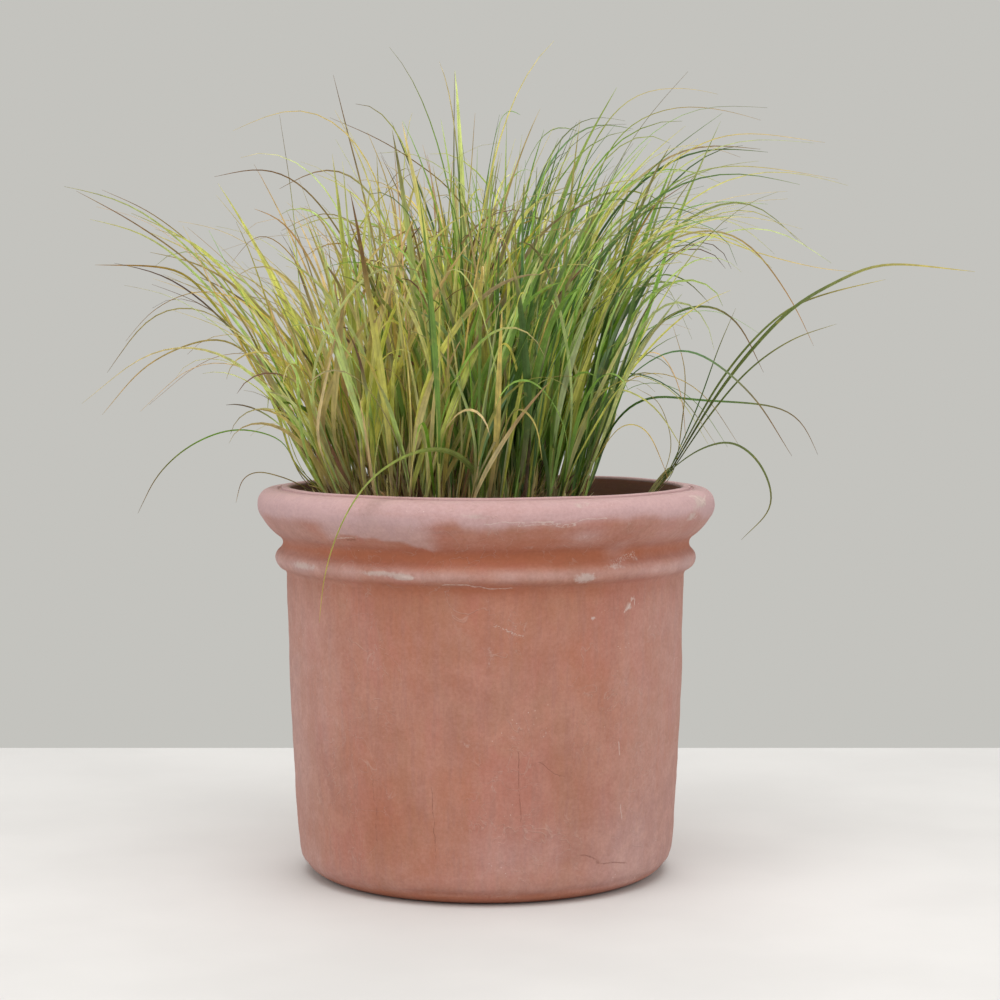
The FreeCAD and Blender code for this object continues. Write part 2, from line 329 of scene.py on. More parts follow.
CRACKS = [
    (-33.4, 160.3, -32.7, 78.9, 0.32), (-15.1, 150.2, -14.0, 64.5, 0.34), (9.0, 195.7, 10.4, 111.3, 0.42),
    (28.1, 61.3, 37.1, 53.7, 0.6), (34.9, 50.3, 45.9, 40.5, 0.6), (-36.5, 455.5, -34.2, 456.5, 0.8),
    (15.3, 180.3, 22.6, 166.0, 0.35), (75, 160, 76, 92, 0.35), (132, 210, 130, 140, 0.35),
    (-172, 120, -171, 62, 0.4), (-110, 70, -99, 64, 0.55), (-140, 52, -131, 48, 0.5),
]


def terracotta():
    """Fired clay with lime bloom, cloudy tones, turning lines, scuffs, hairline cracks and pin holes, with
    painted shade in the neck, under the bead and roll, at the heel, in the crease and inside, and a painted
    sheen on the sides.
    """
    g = Graph("terracotta", roughness=0.86, specular=0.22)
    colours = g.attribute("paint")
    painted = g.split(colours.outputs["Color"])
    bloom_at, worn_at, warm_and_shade_at = painted[0], painted[1], painted[2]
    x, y, z = g.axes()
    radius = g.math("SQRT", g.math("ADD", g.math("MULTIPLY", x, x), g.math("MULTIPLY", y, y)))

    blotch = g.noise(6.0, 3, 0.55, distortion=0.5)
    cloud = g.noise(19.0, 5, 0.62, source=g.scaled(1, 1, 0.8), distortion=0.4)
    mist = g.noise(48.0, 5, 0.62)
    drawn = g.noise(105.0, 5, 0.66, source=g.scaled(1, 1, 0.09))
    thrown = g.noise(90.0, 5, 0.66, source=g.scaled(0.10, 0.10, 1))
    on_rim = g.window(z, 0.398, 0.412)
    on_wall = g.math("SUBTRACT", 1.0, on_rim)
    streak = g.total(g.share(drawn, on_wall), (thrown, on_rim))
    fine = g.noise(230.0, 4, 0.6)
    grain = g.noise(1500.0, 2, 0.5)
    turns = 420.0          # turning lines to a metre of height or radius
    turned = g.noise(1.0, 4, 0.65, source=g.scaled(3, 3, turns), w=g.share(radius, turns))

    # raw clay: orange to brown
    clay = g.mix(g.window(blotch, 0.35, 0.65), (0.402, 0.160, 0.100), (0.368, 0.152, 0.102))
    clay = g.mix(g.window(cloud, 0.42, 0.66), clay, (0.424, 0.184, 0.122))
    rose = g.noise(15.0, 4, 0.6, source=g.scaled(1, 1, 0.45), distortion=0.6)
    clay = g.mix(g.window(rose, 0.50, 0.62, 0, 0.60), clay, (0.420, 0.158, 0.118))
    clay = g.mix(g.window(rose, 0.48, 0.38, 0, 0.50), clay, (0.360, 0.166, 0.104))
    clay = g.mix(g.window(streak, 0.49, 0.62, 0, 0.55), clay, (0.330, 0.130, 0.088))
    clay = g.mix(g.window(mist, 0.55, 0.68, 0, 0.40), clay, (0.385, 0.138, 0.090))
    # warm_and_shade_at darkens the clay: its own warmer patches, and painted shade in the neck, below the
    # bead, under the roll, at the heel and in the crease
    clay = g.mix(warm_and_shade_at, clay, (0.390, 0.128, 0.066))

    # lime bloom: pink-grey film, thicker where painted, broken up by clouds and streaks; the painted amount
    # also holds a painted sheen on the pot's sides and thins in painted shade under the bead and in the neck
    film = bloom_at
    for layer, part in ((cloud, 0.34), (mist, 0.26), (streak, 0.34), (fine, 0.24)):
        film = g.total(film, (g.centred(layer), part))
    film = g.window(film, -0.12, 1.12)
    pink = g.mix(g.window(blotch, 0.4, 0.6), (0.492, 0.304, 0.278), (0.462, 0.296, 0.282))
    pink = g.mix(g.window(mist, 0.42, 0.62), pink, (0.525, 0.330, 0.300))
    pink = g.mix(g.window(z, 0.452, 0.490, 0, 0.75), pink, (0.520, 0.348, 0.362))
    colour = g.mix(film, clay, pink)

    # worn pale patches with ragged edges
    pale = g.total(worn_at, (g.centred(fine), 0.8), (g.centred(g.noise(105, 5, 0.65)), 1.1))
    pale = g.window(pale, 0.42, 0.95, 0, 0.80)
    colour = g.mix(pale, colour, (0.52, 0.405, 0.375))

    # low ridges where the slip has lifted: thin curved lines that come and go
    lifted = g.noise(26.0, 3, 0.5, distortion=0.8)
    ridge = g.window(g.math("ABSOLUTE", g.centred(lifted)), 0.011, 0.0)
    ridge = g.math("MULTIPLY", ridge, g.window(g.noise(9.0, 2), 0.48, 0.60))
    colour = g.mix(g.share(ridge, 0.34), colour, (0.52, 0.34, 0.29))

    # scuffs, dotted scrapes and hairline cracks
    gaps = g.window(g.noise(520, 2, 0.6), 0.50, 0.58)
    scuff = g.math("MULTIPLY", g.line("scuff"), g.window(g.noise(260, 2), 0.34, 0.50, 0.25, 1.0))
    scuff = g.math("MAXIMUM", scuff, g.math("MULTIPLY", g.line("scrape"), gaps))
    colour = g.mix(g.share(scuff, 0.55), colour, (0.64, 0.51, 0.47))
    crack = g.math("MULTIPLY", g.line("crack"), g.window(g.noise(150, 2), 0.36, 0.50, 0.15, 1.0))
    colour = g.mix(g.share(crack, 0.50), colour, (0.20, 0.085, 0.060))

    # fine speckle, pin holes and lime dots
    dots = g.cells(240.0)
    pits = g.math("MULTIPLY", g.window(dots, 0.12, 0.05), g.window(g.noise(30, 2), 0.56, 0.66))
    colour = g.mix(g.share(pits, 0.5), colour, (0.22, 0.09, 0.06))
    lime = g.math("MULTIPLY", g.window(g.cells(170.0), 0.13, 0.04), g.window(g.noise(13, 3), 0.60, 0.68))
    colour = g.mix(g.share(lime, 0.75), colour, (0.78, 0.66, 0.62))
    tone = g.window(g.total(g.share(fine, 0.6), (grain, 0.4)), 0.3, 0.7, 0.93, 1.06)
    colour = g.shade(colour, tone)

    # inside: darker brown above the compost, partly weathering and partly painted shade in the pot's hollow;
    # dark and damp below, a broken salt line between
    inner = colours.outputs["Alpha"]
    level = g.total(z, (g.centred(mist), 0.018))
    colour = g.mix(g.share(inner, 0.72), colour, (0.125, 0.066, 0.046))
    damp = g.math("MULTIPLY", inner, g.window(level, 0.462, 0.452, 0, 0.55))
    colour = g.mix(damp, colour, (0.075, 0.046, 0.034))
    salt = g.math("MULTIPLY", g.window(level, 0.452, 0.4555), g.window(level, 0.461, 0.457))
    broken = g.window(g.noise(120, 4, 0.6), 0.46, 0.60, 0, 0.55)
    salt = g.math("MULTIPLY", g.math("MULTIPLY", salt, inner), broken)
    colour = g.mix(salt, colour, (0.50, 0.42, 0.38))

    drag = g.window(on_rim, 0, 1, 0.85, 0.90)
    height = g.total(g.share(turned, 0.5), (streak, drag), (mist, 1.3), (fine, 0.45), (ridge, 1.0),
                     (scuff, 0.5), (crack, -1.2), (pits, -1.2))
    normal = g.bump(height, 0.42, 0.0012)
    normal = g.bump(grain, 0.18, 0.0003, normal)
    roughness = g.window(film, 0.0, 1.0, 0.76, 0.90)
    return g.finish(colour, normal, roughness)


# Outline of the pot as (radius, height) in mm: up the outside, in over the lip and down the inside.
POT_OUTLINE = (
    line_points((15, 0), (202, 0), 12)
    + arc_points((202, 0), (233.5, 10), (246.5, 34), 14)
    + arc_points((246.5, 34), (255.5, 200), (260.5, 394), 72)
    + arc_points((260.5, 394), (262.3, 399.6), (267.5, 403.5), 5)
    + arc_points((267.5, 403.5), (275.5, 418), (270.8, 427.5), 13)
    + arc_points((270.8, 427.5), (266.3, 436), (271, 446), 10)
    + arc_points((271, 446), (284.3, 457.5), (294.5, 471), 9)
    + arc_points((294.5, 471), (298.9, 479.6), (300, 489), 7)
    + arc_points((300, 489), (294.1, 502.6), (280, 508.2), 11)
    + line_points((280, 508.2), (273.2, 508.0), 3)
    + arc_points((273.2, 508.0), (270.8, 505.8), (268.6, 509.0), 8)
    + line_points((268.6, 509.0), (267.6, 510.4), 1)
    + line_points((267.6, 510.4), (260.5, 510.6), 4)
    + arc_points((260.5, 510.6), (257.9, 509.2), (257, 506), 5)
    + arc_points((257, 506), (247.5, 466), (240, 430), 14)
    + arc_points((240, 430), (233.5, 230), (224, 60), 16)
    + arc_points((224, 60), (216, 38), (194, 28), 8)
    + line_points((194, 28), (16.5, 28), 12)
    + line_points((16.5, 28), (15, 26.5), 1)
    + line_points((15, 26.5), (15, 0), 5)
)
# Angles of the pot's columns from the front in degrees, closer together over the front third.
FRONT_HALF = 62
COLUMN_SIDES = np.concatenate([
    np.linspace(-FRONT_HALF, FRONT_HALF, 196, endpoint=False),
    np.linspace(FRONT_HALF, 360 - FRONT_HALF, 188, endpoint=False),
])
COLUMNS = len(COLUMN_SIDES)
BEAD_Z, NECK_Z = 415, 437        # middle of the bead and of the neck above it
LIP_Z = 510.3          # the lip's flat top starts here


def blob(theta, z, at_theta, at_z, wide, high, power=2.0):
    """Soft patch on the pot's wall: angle from the front in degrees (right positive), height in mm."""
    d = (theta - at_theta + 180) % 360 - 180
    return np.exp(-np.abs(d / wide) ** power - np.abs((z - at_z) / high) ** power)


def patches(side, z, table):
    """Sum of the soft patches of a table of (angle, height, half width, half height, strength)."""
    return sum(strength * blob(side, z, *patch) for *patch, strength in table)


def mark_field(side, z, marks):
    """Per vertex, for the nearest mark: signed distance, how far inside its length, half width (mm)."""
    field, nearest = np.zeros((len(z), 3)), np.full(len(z), 1e9)
    sway = 2.6 * fbm(np.stack([side / 5.0, z / 24.0, z * 0], 1), 3, 61)
    for angle0, z0, angle1, z1, half in marks:
        along = np.array([math.radians(angle1 - angle0) * WALL_R, z1 - z0])
        length = np.hypot(*along)
        along = along / length
        u = np.radians((side - angle0 + 180) % 360 - 180) * WALL_R
        v = z - z0
        t, d = u * along[0] + v * along[1], v * along[0] - u * along[1] + sway
        beyond = np.maximum(np.maximum(-t, t - length), 0)
        closer = np.abs(d) + beyond < nearest
        field[closer] = np.stack([d, 1 - beyond / MARK_FADE, d * 0 + half], 1)[closer]
        nearest = np.minimum(nearest, np.abs(d) + beyond)
    field[:, 1] *= nearest < MARK_REACH
    return field


# Knocks: angle from the front and height (mm), half width (degrees) and half height (mm), depth (mm).
KNOCKS = [
    (22, 414, 3.0, 7, 1.0), (-24, 412, 5.0, 5, 0.9), (-50, 416, 4.0, 5, 0.8), (58, 492, 3.0, 6, 0.9),
    (33, 372, 1.6, 4, 0.7), (-70, 300, 2.0, 20, 0.6), (14, 60, 9.0, 3, 0.9), (130, 410, 5.0, 6, 1.0),
    (200, 488, 4.0, 8, 0.9), (250, 120, 3.0, 14, 0.7),
]
# Worn, warm and limy patches: angle, height, half width, half height, strength.
WORN = [
    (-57, 417, 8, 6, 1.0), (-28, 416, 9, 4.5, 0.95), (-21, 412, 3, 3.5, 1.2), (27, 411, 3.5, 7.5, 1.25),
    (36, 423, 5, 5, 0.8), (44, 430, 3, 6, 0.6), (66, 496, 5, 10, 1.15), (60, 480, 4, 8, 0.9),
    (43.5, 370, 2.2, 7, 0.75), (2, 315, 2.4, 30, 0.50), (-4, 207, 5, 13, 0.44),
    (13, 296, 3.5, 16, 0.30), (23.6, 502, 3.5, 5, 0.8), (-2, 491, 4.5, 5, 0.8), (31, 359, 1.0, 4, 1.1),
    (-15, 505, 20, 5, 0.35), (170, 415, 16, 6, 0.8), (120, 480, 14, 12, 0.5), (-130, 412, 12, 6, 0.8),
    (-78, 350, 3, 30, 0.5), (-100, 490, 12, 10, 0.5), (60, 60, 10, 16, 0.3), (24, 462, 4, 8, 0.45),
    (95, 140, 8, 30, 0.35), (-160, 90, 10, 20, 0.4),
]
# Warm patches are mostly the clay's own tone; the wide bands at 458 and 398 mm across the front are painted
# shade under the roll and the bead.
WARM_AND_SHADE = [
    (-47, 468, 3.0, 7, 0.9), (-44, 458, 2.6, 7, 0.9), (-20, 330, 9, 40, 0.35), (8, 350, 14, 40, 0.25),
    (35, 300, 12, 50, 0.3), (-28, 120, 9, 60, 0.35), (-38, 180, 6, 30, 0.35), (150, 300, 20, 70, 0.4),
    (-140, 200, 18, 80, 0.4), (14, 458, 34, 12, 0.7), (-2, 398, 16, 4, 0.6),
]
LIMY = [
    (10, 66, 18, 34, 0.30), (46, 60, 14, 60, 0.30), (-75, 200, 10, 90, 0.2), (-42, 90, 20, 80, -0.22),
    (25, 462, 5, 12, 0.40), (37, 440, 4, 12, 0.45),
]


def round_noise(around, z, scale, tall, octaves, seed):
    """Noise round the pot; tall is the height of its features in mm, or None if they don't change upwards."""
    up = z / tall if tall else z * 0
    return fbm(np.stack([around[:, 0] * scale, around[:, 1] * scale, up], 1), octaves, seed)


def band(z, at, high):
    """Soft ring round the pot at a height."""
    return np.exp(-((z - at) / high) ** 2)


def shape_pot(r, z, side, around, outside):
    """Radii and heights with the unevenness of handmade clay, and how strong the crease above the heel is."""
    # slightly oval, soft dents, uneven roll and bead
    a = np.radians(side - 90.0)
    p = np.stack([around[:, 0], around[:, 1], z / 260.0], 1)
    free = np.where(outside, 1.0, 0.0) * smooth(z, 6, 60)
    wobble = 1.1 * np.cos(2 * a + 0.7) + 1.0 * fbm(p * 2.2, 3, 3)
    wobble += 0.5 * round_noise(around, z, 9, 45.0, 3, 5)
    wobble += band(z, BEAD_Z, 9.0) * (r > 262) * 0.9 * round_noise(around, z, 7, 30.0, 3, 9)
    wobble += smooth(z, 446, 470) * (r > 262) * 0.8 * round_noise(around, z, 6, 22.0, 3, 11)
    r2 = r + free * np.clip(wobble, -3, 3)
    z2 = z + free * smooth(z, 380, 470) * 1.1 * fbm(p * 1.7, 2, 21)

    # low lumps in the wall, a crease above the heel, and a few knocks
    wall = smooth(z, 20, 60) * smooth(z, 400, 380) * outside
    r2 += wall * 0.45 * np.clip(round_noise(around, z, 5.5, 55.0, 4, 15), -1, 1.2)
    fold = 16.5 + 3.0 * round_noise(around, z, 2, None, 3, 31)
    crease = band(z, fold, 2.2) * smooth(round_noise(around, z, 1.6, None, 2, 33), -0.35, 0.1)
    r2 -= crease * 4.2 * (r > 212) * outside
    r2 += band(z - fold, 6, 3.0) * 0.8 * (r > 212) * outside
    r2 -= patches(side, z, KNOCKS) * (r > 255) * outside
    return r2, z2, crease


def paint_pot(pot, r, z, side, around, outside, crease):
    """Stores how much bloom, wear, warmth and inside colour each point has, and the marks on it; bloom and
    warmth also carry painted light: a sheen on the sides, shade in the neck, below the bead, at the heel and
    in the crease.
    """
    # side_sheen: more bloom towards the sides seen from the front, a painted sheen on the pot's left and right
    # edges
    side_sheen = np.abs(np.sin(np.radians(side)))
    bloom = 0.20 + 0.37 * smooth(side_sheen, 0.42, 1.0) + 0.16 * smooth(z, 70, 20)
    # less bloom from 330 to 440 mm and at the heel: painted shade under the bead and where the foot curves
    # under
    bloom += patches(side, z, LIMY) - 0.16 * smooth(z, 330, 400) * smooth(z, 440, 400)
    bloom -= 0.30 * smooth(z, 16, 10) * outside
    # lime on the bead, little in the neck as painted shade under the roll, more on the roll above a wavy line,
    # a sharp patch front left
    bloom += (0.46 + 0.22 * round_noise(around, z, 6, None, 3, 43)) * band(z, BEAD_Z, 8.0) * (r > 266)
    bloom -= 0.34 * band(z, NECK_Z, 10.0)
    wavy = 479 + 5.0 * round_noise(around, z, 4, None, 3, 45) + 2.2 * round_noise(around, z, 16, None, 2, 46)
    bloom += 0.66 * smooth(z, wavy - 6, wavy + 10)
    edge = 10 * round_noise(around, z, 5, None, 4, 41)
    patch = smooth(z, 450 + edge, 455 + edge) * smooth(z, 492, 478) * blob(side, z, -27.5, 470, 15.5, 500, 8)
    bloom += 0.78 * patch
    clouds = smooth(round_noise(around, z, 3.3, None, 3, 47), 0.15, 0.5)
    bloom += 0.55 * clouds * smooth(z, 446, 470) * smooth(np.abs(side), 70, 100)

    worn = patches(side, z, WORN) * (r > 255)
    # warm_and_shade: painted shade in the neck under the roll, below the bead, at the heel and in the crease,
    # and the clay's own warm patches
    warm_and_shade = 0.85 * band(z, NECK_Z, 12.0) * (r > 262) + 0.35 * band(z, 394, 8.0)
    warm_and_shade += 0.5 * smooth(z, 18, 8) * outside + 0.8 * crease + patches(side, z, WARM_AND_SHADE) * (r > 245)

    inner = (~outside | (z > 470) & (r < 261)) * smooth(z, 509.6, 503)
    bloom = np.where(inner > 0.5, 0.15 + 0.2 * smooth(z, 60, 20), bloom)
    paint(pot, "paint", np.stack([bloom, worn, np.clip(warm_and_shade, 0, 1), inner], 1))
    for name, marks in (("scuff", SCUFFS), ("scrape", DOTTED), ("crack", CRACKS)):
        field = mark_field(side, z, marks)
        field[:, 1] *= outside
        paint(pot, name, field)


def make_pot():
    """The pot's wall as a grid of rows up the outline and columns round it."""
    outline = np.array(POT_OUTLINE)
    rows = len(outline)
    r = np.repeat(outline[:, 0], COLUMNS)
    z = np.repeat(outline[:, 1], COLUMNS)
    row = np.repeat(np.arange(rows), COLUMNS)
    turn = np.tile(np.radians(COLUMN_SIDES - 90.0), rows)
    side = (np.degrees(turn) + 90.0 + 180) % 360 - 180
    around = np.stack([np.cos(turn), np.sin(turn)], 1)
    lip_row = int(np.argmax(outline[:, 1] >= LIP_Z))
    outside = (row <= lip_row) | (z > 470)

    r2, z2, crease = shape_pot(r, z, side, around, outside)
    verts = np.stack([r2 * around[:, 0], r2 * around[:, 1], z2], 1) * MM
    pot = mesh_object("pot_body", verts, revolve_faces(rows, COLUMNS, True), "pot")
    paint_pot(pot, r, z, side, around, outside, crease)
    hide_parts("pot")
    wear(pot, terracotta())


# ------------------------------------------------------------------ grass
def linear(r, g, b):
    """Linear colour of a display colour given as 0 to 255."""
    c = np.array((r, g, b)) / 255.0
    return np.where(c <= 0.04045, c / 12.92, ((c + 0.055) / 1.055) ** 2.4)


YELLOW_GREEN, LIME, OLIVE = linear(192, 192, 92), linear(208, 210, 112), linear(176, 165, 108)
GREEN, DEEP, BLUE_GREEN = linear(136, 170, 68), linear(90, 124, 58), linear(104, 140, 90)
TAN, STRAW, RED_BROWN = linear(228, 202, 148), linear(222, 206, 122), linear(160, 118, 86)
PURPLE, PALE_GREEN, RUST = linear(142, 112, 92), linear(188, 202, 128), linear(192, 146, 84)
MOSS = linear(112, 124, 68)
# colour of the painted highlight on the brightest leaves
SUNLIT = linear(234, 230, 186)

LEAF_LIGHT = 1.78      # leaves let light through, so a clump looks lighter than one leaf
LEAF_FADE = 0.16       # share of grey in every leaf colour
TIP_LIGHT = 1.05       # the thin tips stand alone, so they get less
LEAF_CAP = 0.88        # no leaf is brighter than this

LEFT_LEAVES = (
    (YELLOW_GREEN, 0.28), (LIME, 0.10), (OLIVE, 0.20), (GREEN, 0.12), (PALE_GREEN, 0.16), (STRAW, 0.08),
    (TAN, 0.06),
)
RIGHT_LEAVES = (
    (GREEN, 0.40), (DEEP, 0.26), (BLUE_GREEN, 0.08), (YELLOW_GREEN, 0.20), (PALE_GREEN, 0.04), (STRAW, 0.02),
)
LEFT_SHEATHS = ((PURPLE, 0.30), (OLIVE, 0.30), (RED_BROWN, 0.16), (PALE_GREEN, 0.14), (GREEN, 0.10))
RIGHT_SHEATHS = ((GREEN, 0.30), (DEEP, 0.34), (PALE_GREEN, 0.16), (OLIVE, 0.12), (PURPLE, 0.08))
LEFT_TIPS = ((RED_BROWN, 0.44), (RUST, 0.26), (TAN, 0.24), (PURPLE, 0.06))
RIGHT_TIPS = ((RED_BROWN, 0.25), (STRAW, 0.30), (TAN, 0.25), (OLIVE, 0.20))

CLUMP = np.array((-0.040, 0.0))          # axis of the clump
CLUMP_R = 0.162        # the sheaths are spread over this radius
CROWN_R = 0.165        # crown of the clump
CROWN_H = 0.036        # height of its middle above the compost
FEET_R = 0.163         # no leaf or sheath of the clump starts farther out
RIM_R = 0.306          # the rim, with a little room
BOX_ROOM = 0.012       # how far past the CAD's box the middle of a leaf may go
SIDE_FOOT = (0.196, -0.056)              # foot of the side shoot
SOIL_Z = 0.456         # top of the compost
STEPS = 18             # points along a leaf of the clump
STEM_STEPS = 7         # along a sheath
OUTLINE_STEPS = 44     # along a leaf placed one by one
FAMILY_STEPS = 30      # along a leaf of a family


def pick(palette, n, light=LEAF_LIGHT):
    """n colours drawn from a palette of (colour, share), each brighter or darker at random, which stands in
    partly for how each leaf catches the light; the brightest are mixed towards SUNLIT as a painted highlight.
    """
    colours = np.array([c for c, _ in palette])
    share = np.array([s for _, s in palette])
    drawn = colours[rng.choice(len(colours), n, p=share / share.sum())]
    grey = drawn.mean(1, keepdims=True)
    drawn = drawn * (1 - LEAF_FADE) + grey * LEAF_FADE
    glow = rng.uniform(0.60, 1.36, (n, 1))
    drawn = drawn * glow * rng.uniform(0.95, 1.05, (n, 3)) * light
    drawn = drawn * np.minimum(1, LEAF_CAP / drawn.max(1, keepdims=True))
    # painted highlight: the brightest leaves are mixed towards SUNLIT
    pale = smooth(glow, 1.06, 1.38) * 0.66
    return drawn * (1 - pale) + SUNLIT * pale


def crown_height(rho):
    """Height of the crown's surface at a distance from the clump's axis."""
    rise = CROWN_H * 0.78
    bend = (CROWN_R ** 2 + rise ** 2) / (2 * rise)
    return SOIL_Z + CROWN_H - bend + np.sqrt(bend ** 2 - np.minimum(rho, CROWN_R) ** 2)


def grow(start, tilt, bearing, length, bend, power, curl, steps, shake=0.012):
    """Centre lines of n leaves, shape (n, steps, 3). Tilt is from upright; bend is added towards the tip."""
    n = len(start)
    s = np.linspace(0, 1, steps)[None, :]
    lean = tilt[:, None] + bend[:, None] * s ** power[:, None]
    lean = lean + np.cumsum(rng.normal(0, shake, (n, steps)), 1)
    face = bearing[:, None] + curl[:, None] * s + np.cumsum(rng.normal(0, shake, (n, steps)), 1)
    step = (length / (steps - 1))[:, None]
    heading = np.stack([np.sin(lean) * np.cos(face), np.sin(lean) * np.sin(face), np.cos(lean)], 2)
    move = heading * step[:, :, None]
    path = np.cumsum(move, 1) - move[:, :1]
    return start[:, None, :] + path


def clear_of_pot(path):
    """Which paths miss the rim, the pot's inside and the compost, and stay in the CAD's box."""
    r = np.hypot(path[..., 0], path[..., 1])
    z = path[..., 2]
    inside = (z < 0.510) & (r > 0.242 + 0.24 * (z - SOIL_Z)) & (r < RIM_R)
    over = (z < 0.514) & (r > 0.252) & (r < RIM_R)
    under = (z < SOIL_Z + 0.002) & (r < RIM_R)
    box = ((path < np.array(CAD_BOX[0]) - BOX_ROOM) | (path > np.array(CAD_BOX[1]) + BOX_ROOM)).any(2)
    return ~(inside | over | under | box).any(1)


def ribbons(path, width, twist, twist_end, fold=0.11, base=0.34, full=0.42, taper=2.4):
    """Vertices, faces and (across, along) of closed, keeled leaf ribbons that follow the paths."""
    n, steps, _ = path.shape
    s = np.linspace(0, 1, steps)
    tangent = np.gradient(path, axis=1)
    tangent /= np.linalg.norm(tangent, axis=2, keepdims=True) + 1e-12
    heading = path[:, -1] - path[:, 0]
    side = np.stack([-heading[:, 1], heading[:, 0], np.zeros(n)], 1)
    side /= np.linalg.norm(side, axis=1, keepdims=True) + 1e-9
    u = side[:, None, :] - tangent * (tangent * side[:, None, :]).sum(2, keepdims=True)
    u /= np.linalg.norm(u, axis=2, keepdims=True) + 1e-12
    v = np.cross(tangent, u)
    angle = (twist[:, None] + twist_end[:, None] * s[None, :])[:, :, None]
    a = u * np.cos(angle) + v * np.sin(angle)
    b = v * np.cos(angle) - u * np.sin(angle)
    shape = np.minimum(1, base + (1 - base) * s / full) * (1 - s ** taper) ** 0.85
    w = (width[:, None] * shape[None, :] + 0.00035)[:, :, None]
    left = path - a * w / 2 + b * w * fold
    right = path + a * w / 2 + b * w * fold
    top = path + b * 0.00012
    keel = path - b * (0.00018 + 0.03 * w)
    verts = np.stack([left, top, right, keel], 2).reshape(-1, 3)
    ring = np.arange(4)
    quads = []
    for k in range(steps - 1):
        a0 = k * 4 + ring
        a1 = k * 4 + (ring + 1) % 4
        quads.append(np.stack([a0, a0 + 4, a1 + 4, a1], 1))
    foot_cap, tip_cap = ring[None, :], ring[None, ::-1] + (steps - 1) * 4
    one = np.concatenate(quads + [foot_cap, tip_cap])
    faces = (one[None, :, :] + (np.arange(n) * steps * 4)[:, None, None]).reshape(-1, 4)
    across = np.tile(np.array([0.0, 0.5, 1.0, 0.5]), n * steps)
    along = np.tile(np.repeat(s, 4), n)
    return verts, faces, across, along


def leaf_tint(steps, body, tip, foot, foot_share, tip_start, tip_share):
    """Colour per vertex: foot colour, then the leaf's own, then the dry tip."""
    s = np.linspace(0, 1, steps)[None, :, None]
    foot_mix = (1 - smooth(s, 0.03, 0.30)) * foot_share[:, None, None]
    tip_mix = smooth(s, tip_start[:, None, None], tip_start[:, None, None] + 0.32) * tip_share[:, None, None]
    colour = body[:, None, :] * (1 - foot_mix) + foot[:, None, :] * foot_mix
    colour = colour * (1 - tip_mix) + tip[:, None, :] * tip_mix
    return np.repeat(colour, 4, 1).reshape(-1, 3)


def leaf_material(name, roughness=0.46):
    """Grass leaf: colours painted along the leaf, fine parallel veins, a soft mottle and painted shade along
    its folded middle.
    """
    g = Graph(name, roughness=roughness, specular=0.35)
    tint = g.attribute("tint").outputs["Color"]
    lay = g.split(g.attribute("lay").outputs["Color"])
    veins = g.math("SINE", g.math("MULTIPLY", lay[0], 31.4))
    # darker along the leaf's middle, where it folds: painted shade in the fold
    keel = g.window(g.math("ABSOLUTE", g.math("SUBTRACT", lay[0], 0.5)), 0.0, 0.16, 0.86, 1.0)
    mottle = g.noise(120, 4, 0.6, source=g.scaled(1, 1, 0.3))
    tone = g.math("ADD", g.window(mottle, 0.3, 0.7, 0.84, 1.12), g.share(veins, 0.05))
    tone = g.math("MULTIPLY", tone, keel)
    colour = g.shade(tint, tone)
    dry = g.window(g.noise(45, 3, 0.6), 0.60, 0.72, 0, 0.35)
    colour = g.mix(dry, colour, tuple(STRAW))
    made = g.finish(colour, g.bump(mottle, 0.25, 0.0004))
    through = g.node("ShaderNodeBsdfTranslucent")
    g.put(through.inputs["Color"], colour)
    both = g.node("ShaderNodeMixShader")
    both.inputs[0].default_value = 0.52
    g.put(both.inputs[1], g.shader.outputs[0])
    g.put(both.inputs[2], through.outputs[0])
    g.put(g.tree.nodes["Material Output"].inputs["Surface"], both.outputs[0])
    return made


def leaf_piece(name, parts, material, slot, *nodes):
    """One object from several batches of ribbons; each batch is (verts, faces, across, along, tint, own)."""
    start, verts, faces, lay, tint = 0, [], [], [], []
    for v, f, across, along, colour, own in parts:
        verts.append(v)
        faces.append(f + start)
        lay.append(np.stack([across, along, own], 1))
        tint.append(colour)
        start += len(v)
    verts = np.concatenate(verts)
    obj = mesh_object(name, verts, np.concatenate(faces).tolist(), "planting")
    ends = np.zeros(len(obj.data.edges) * 2, np.int64)
    obj.data.edges.foreach_get("vertices", ends)
    corner = ends.reshape(-1, 2) % 4
    margin = (corner[:, 0] == corner[:, 1]) & (corner[:, 0] % 2 == 0)
    obj.data.edges.foreach_set("use_edge_sharp", margin)
    paint(obj, "tint", np.concatenate(tint))
    paint(obj, "lay", np.concatenate(lay))
    wear(obj, material)
    if nodes:
        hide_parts(*nodes)
    return obj


def quarter(bearing):
    """Which of the four leaf pieces a bearing in radians belongs to."""
    names = np.array(["right", "back", "left", "front"])
    return names[(((np.degrees(bearing) + 45) % 360) // 90).astype(int)]


def batch(path, width, twist, twist_end, colour_of, **shape):
    """Ribbons along the paths with their colours; colour_of(n, steps) gives a colour per vertex."""
    v, f, across, along = ribbons(path, width, twist, twist_end, **shape)
    n, steps = path.shape[:2]
    own = np.repeat(rng.uniform(0, 1, n), steps * 4)
    return v, f, across, along, colour_of(n, steps), own


def tints(left, dryness):
    """Colour maker for leaves of one plant; dryness is how brown the tips get."""
    leaves = LEFT_LEAVES if left else RIGHT_LEAVES
    sheaths = LEFT_SHEATHS if left else RIGHT_SHEATHS
    tips = LEFT_TIPS if left else RIGHT_TIPS

    def make(n, steps):
        return leaf_tint(
            steps, pick(leaves, n), pick(tips, n, TIP_LIGHT), pick(sheaths, n), rng.uniform(0.1, 0.8, n),
            rng.uniform(0.42, 0.85, n), np.clip(rng.normal(dryness, 0.3, n), 0, 1))
    return make


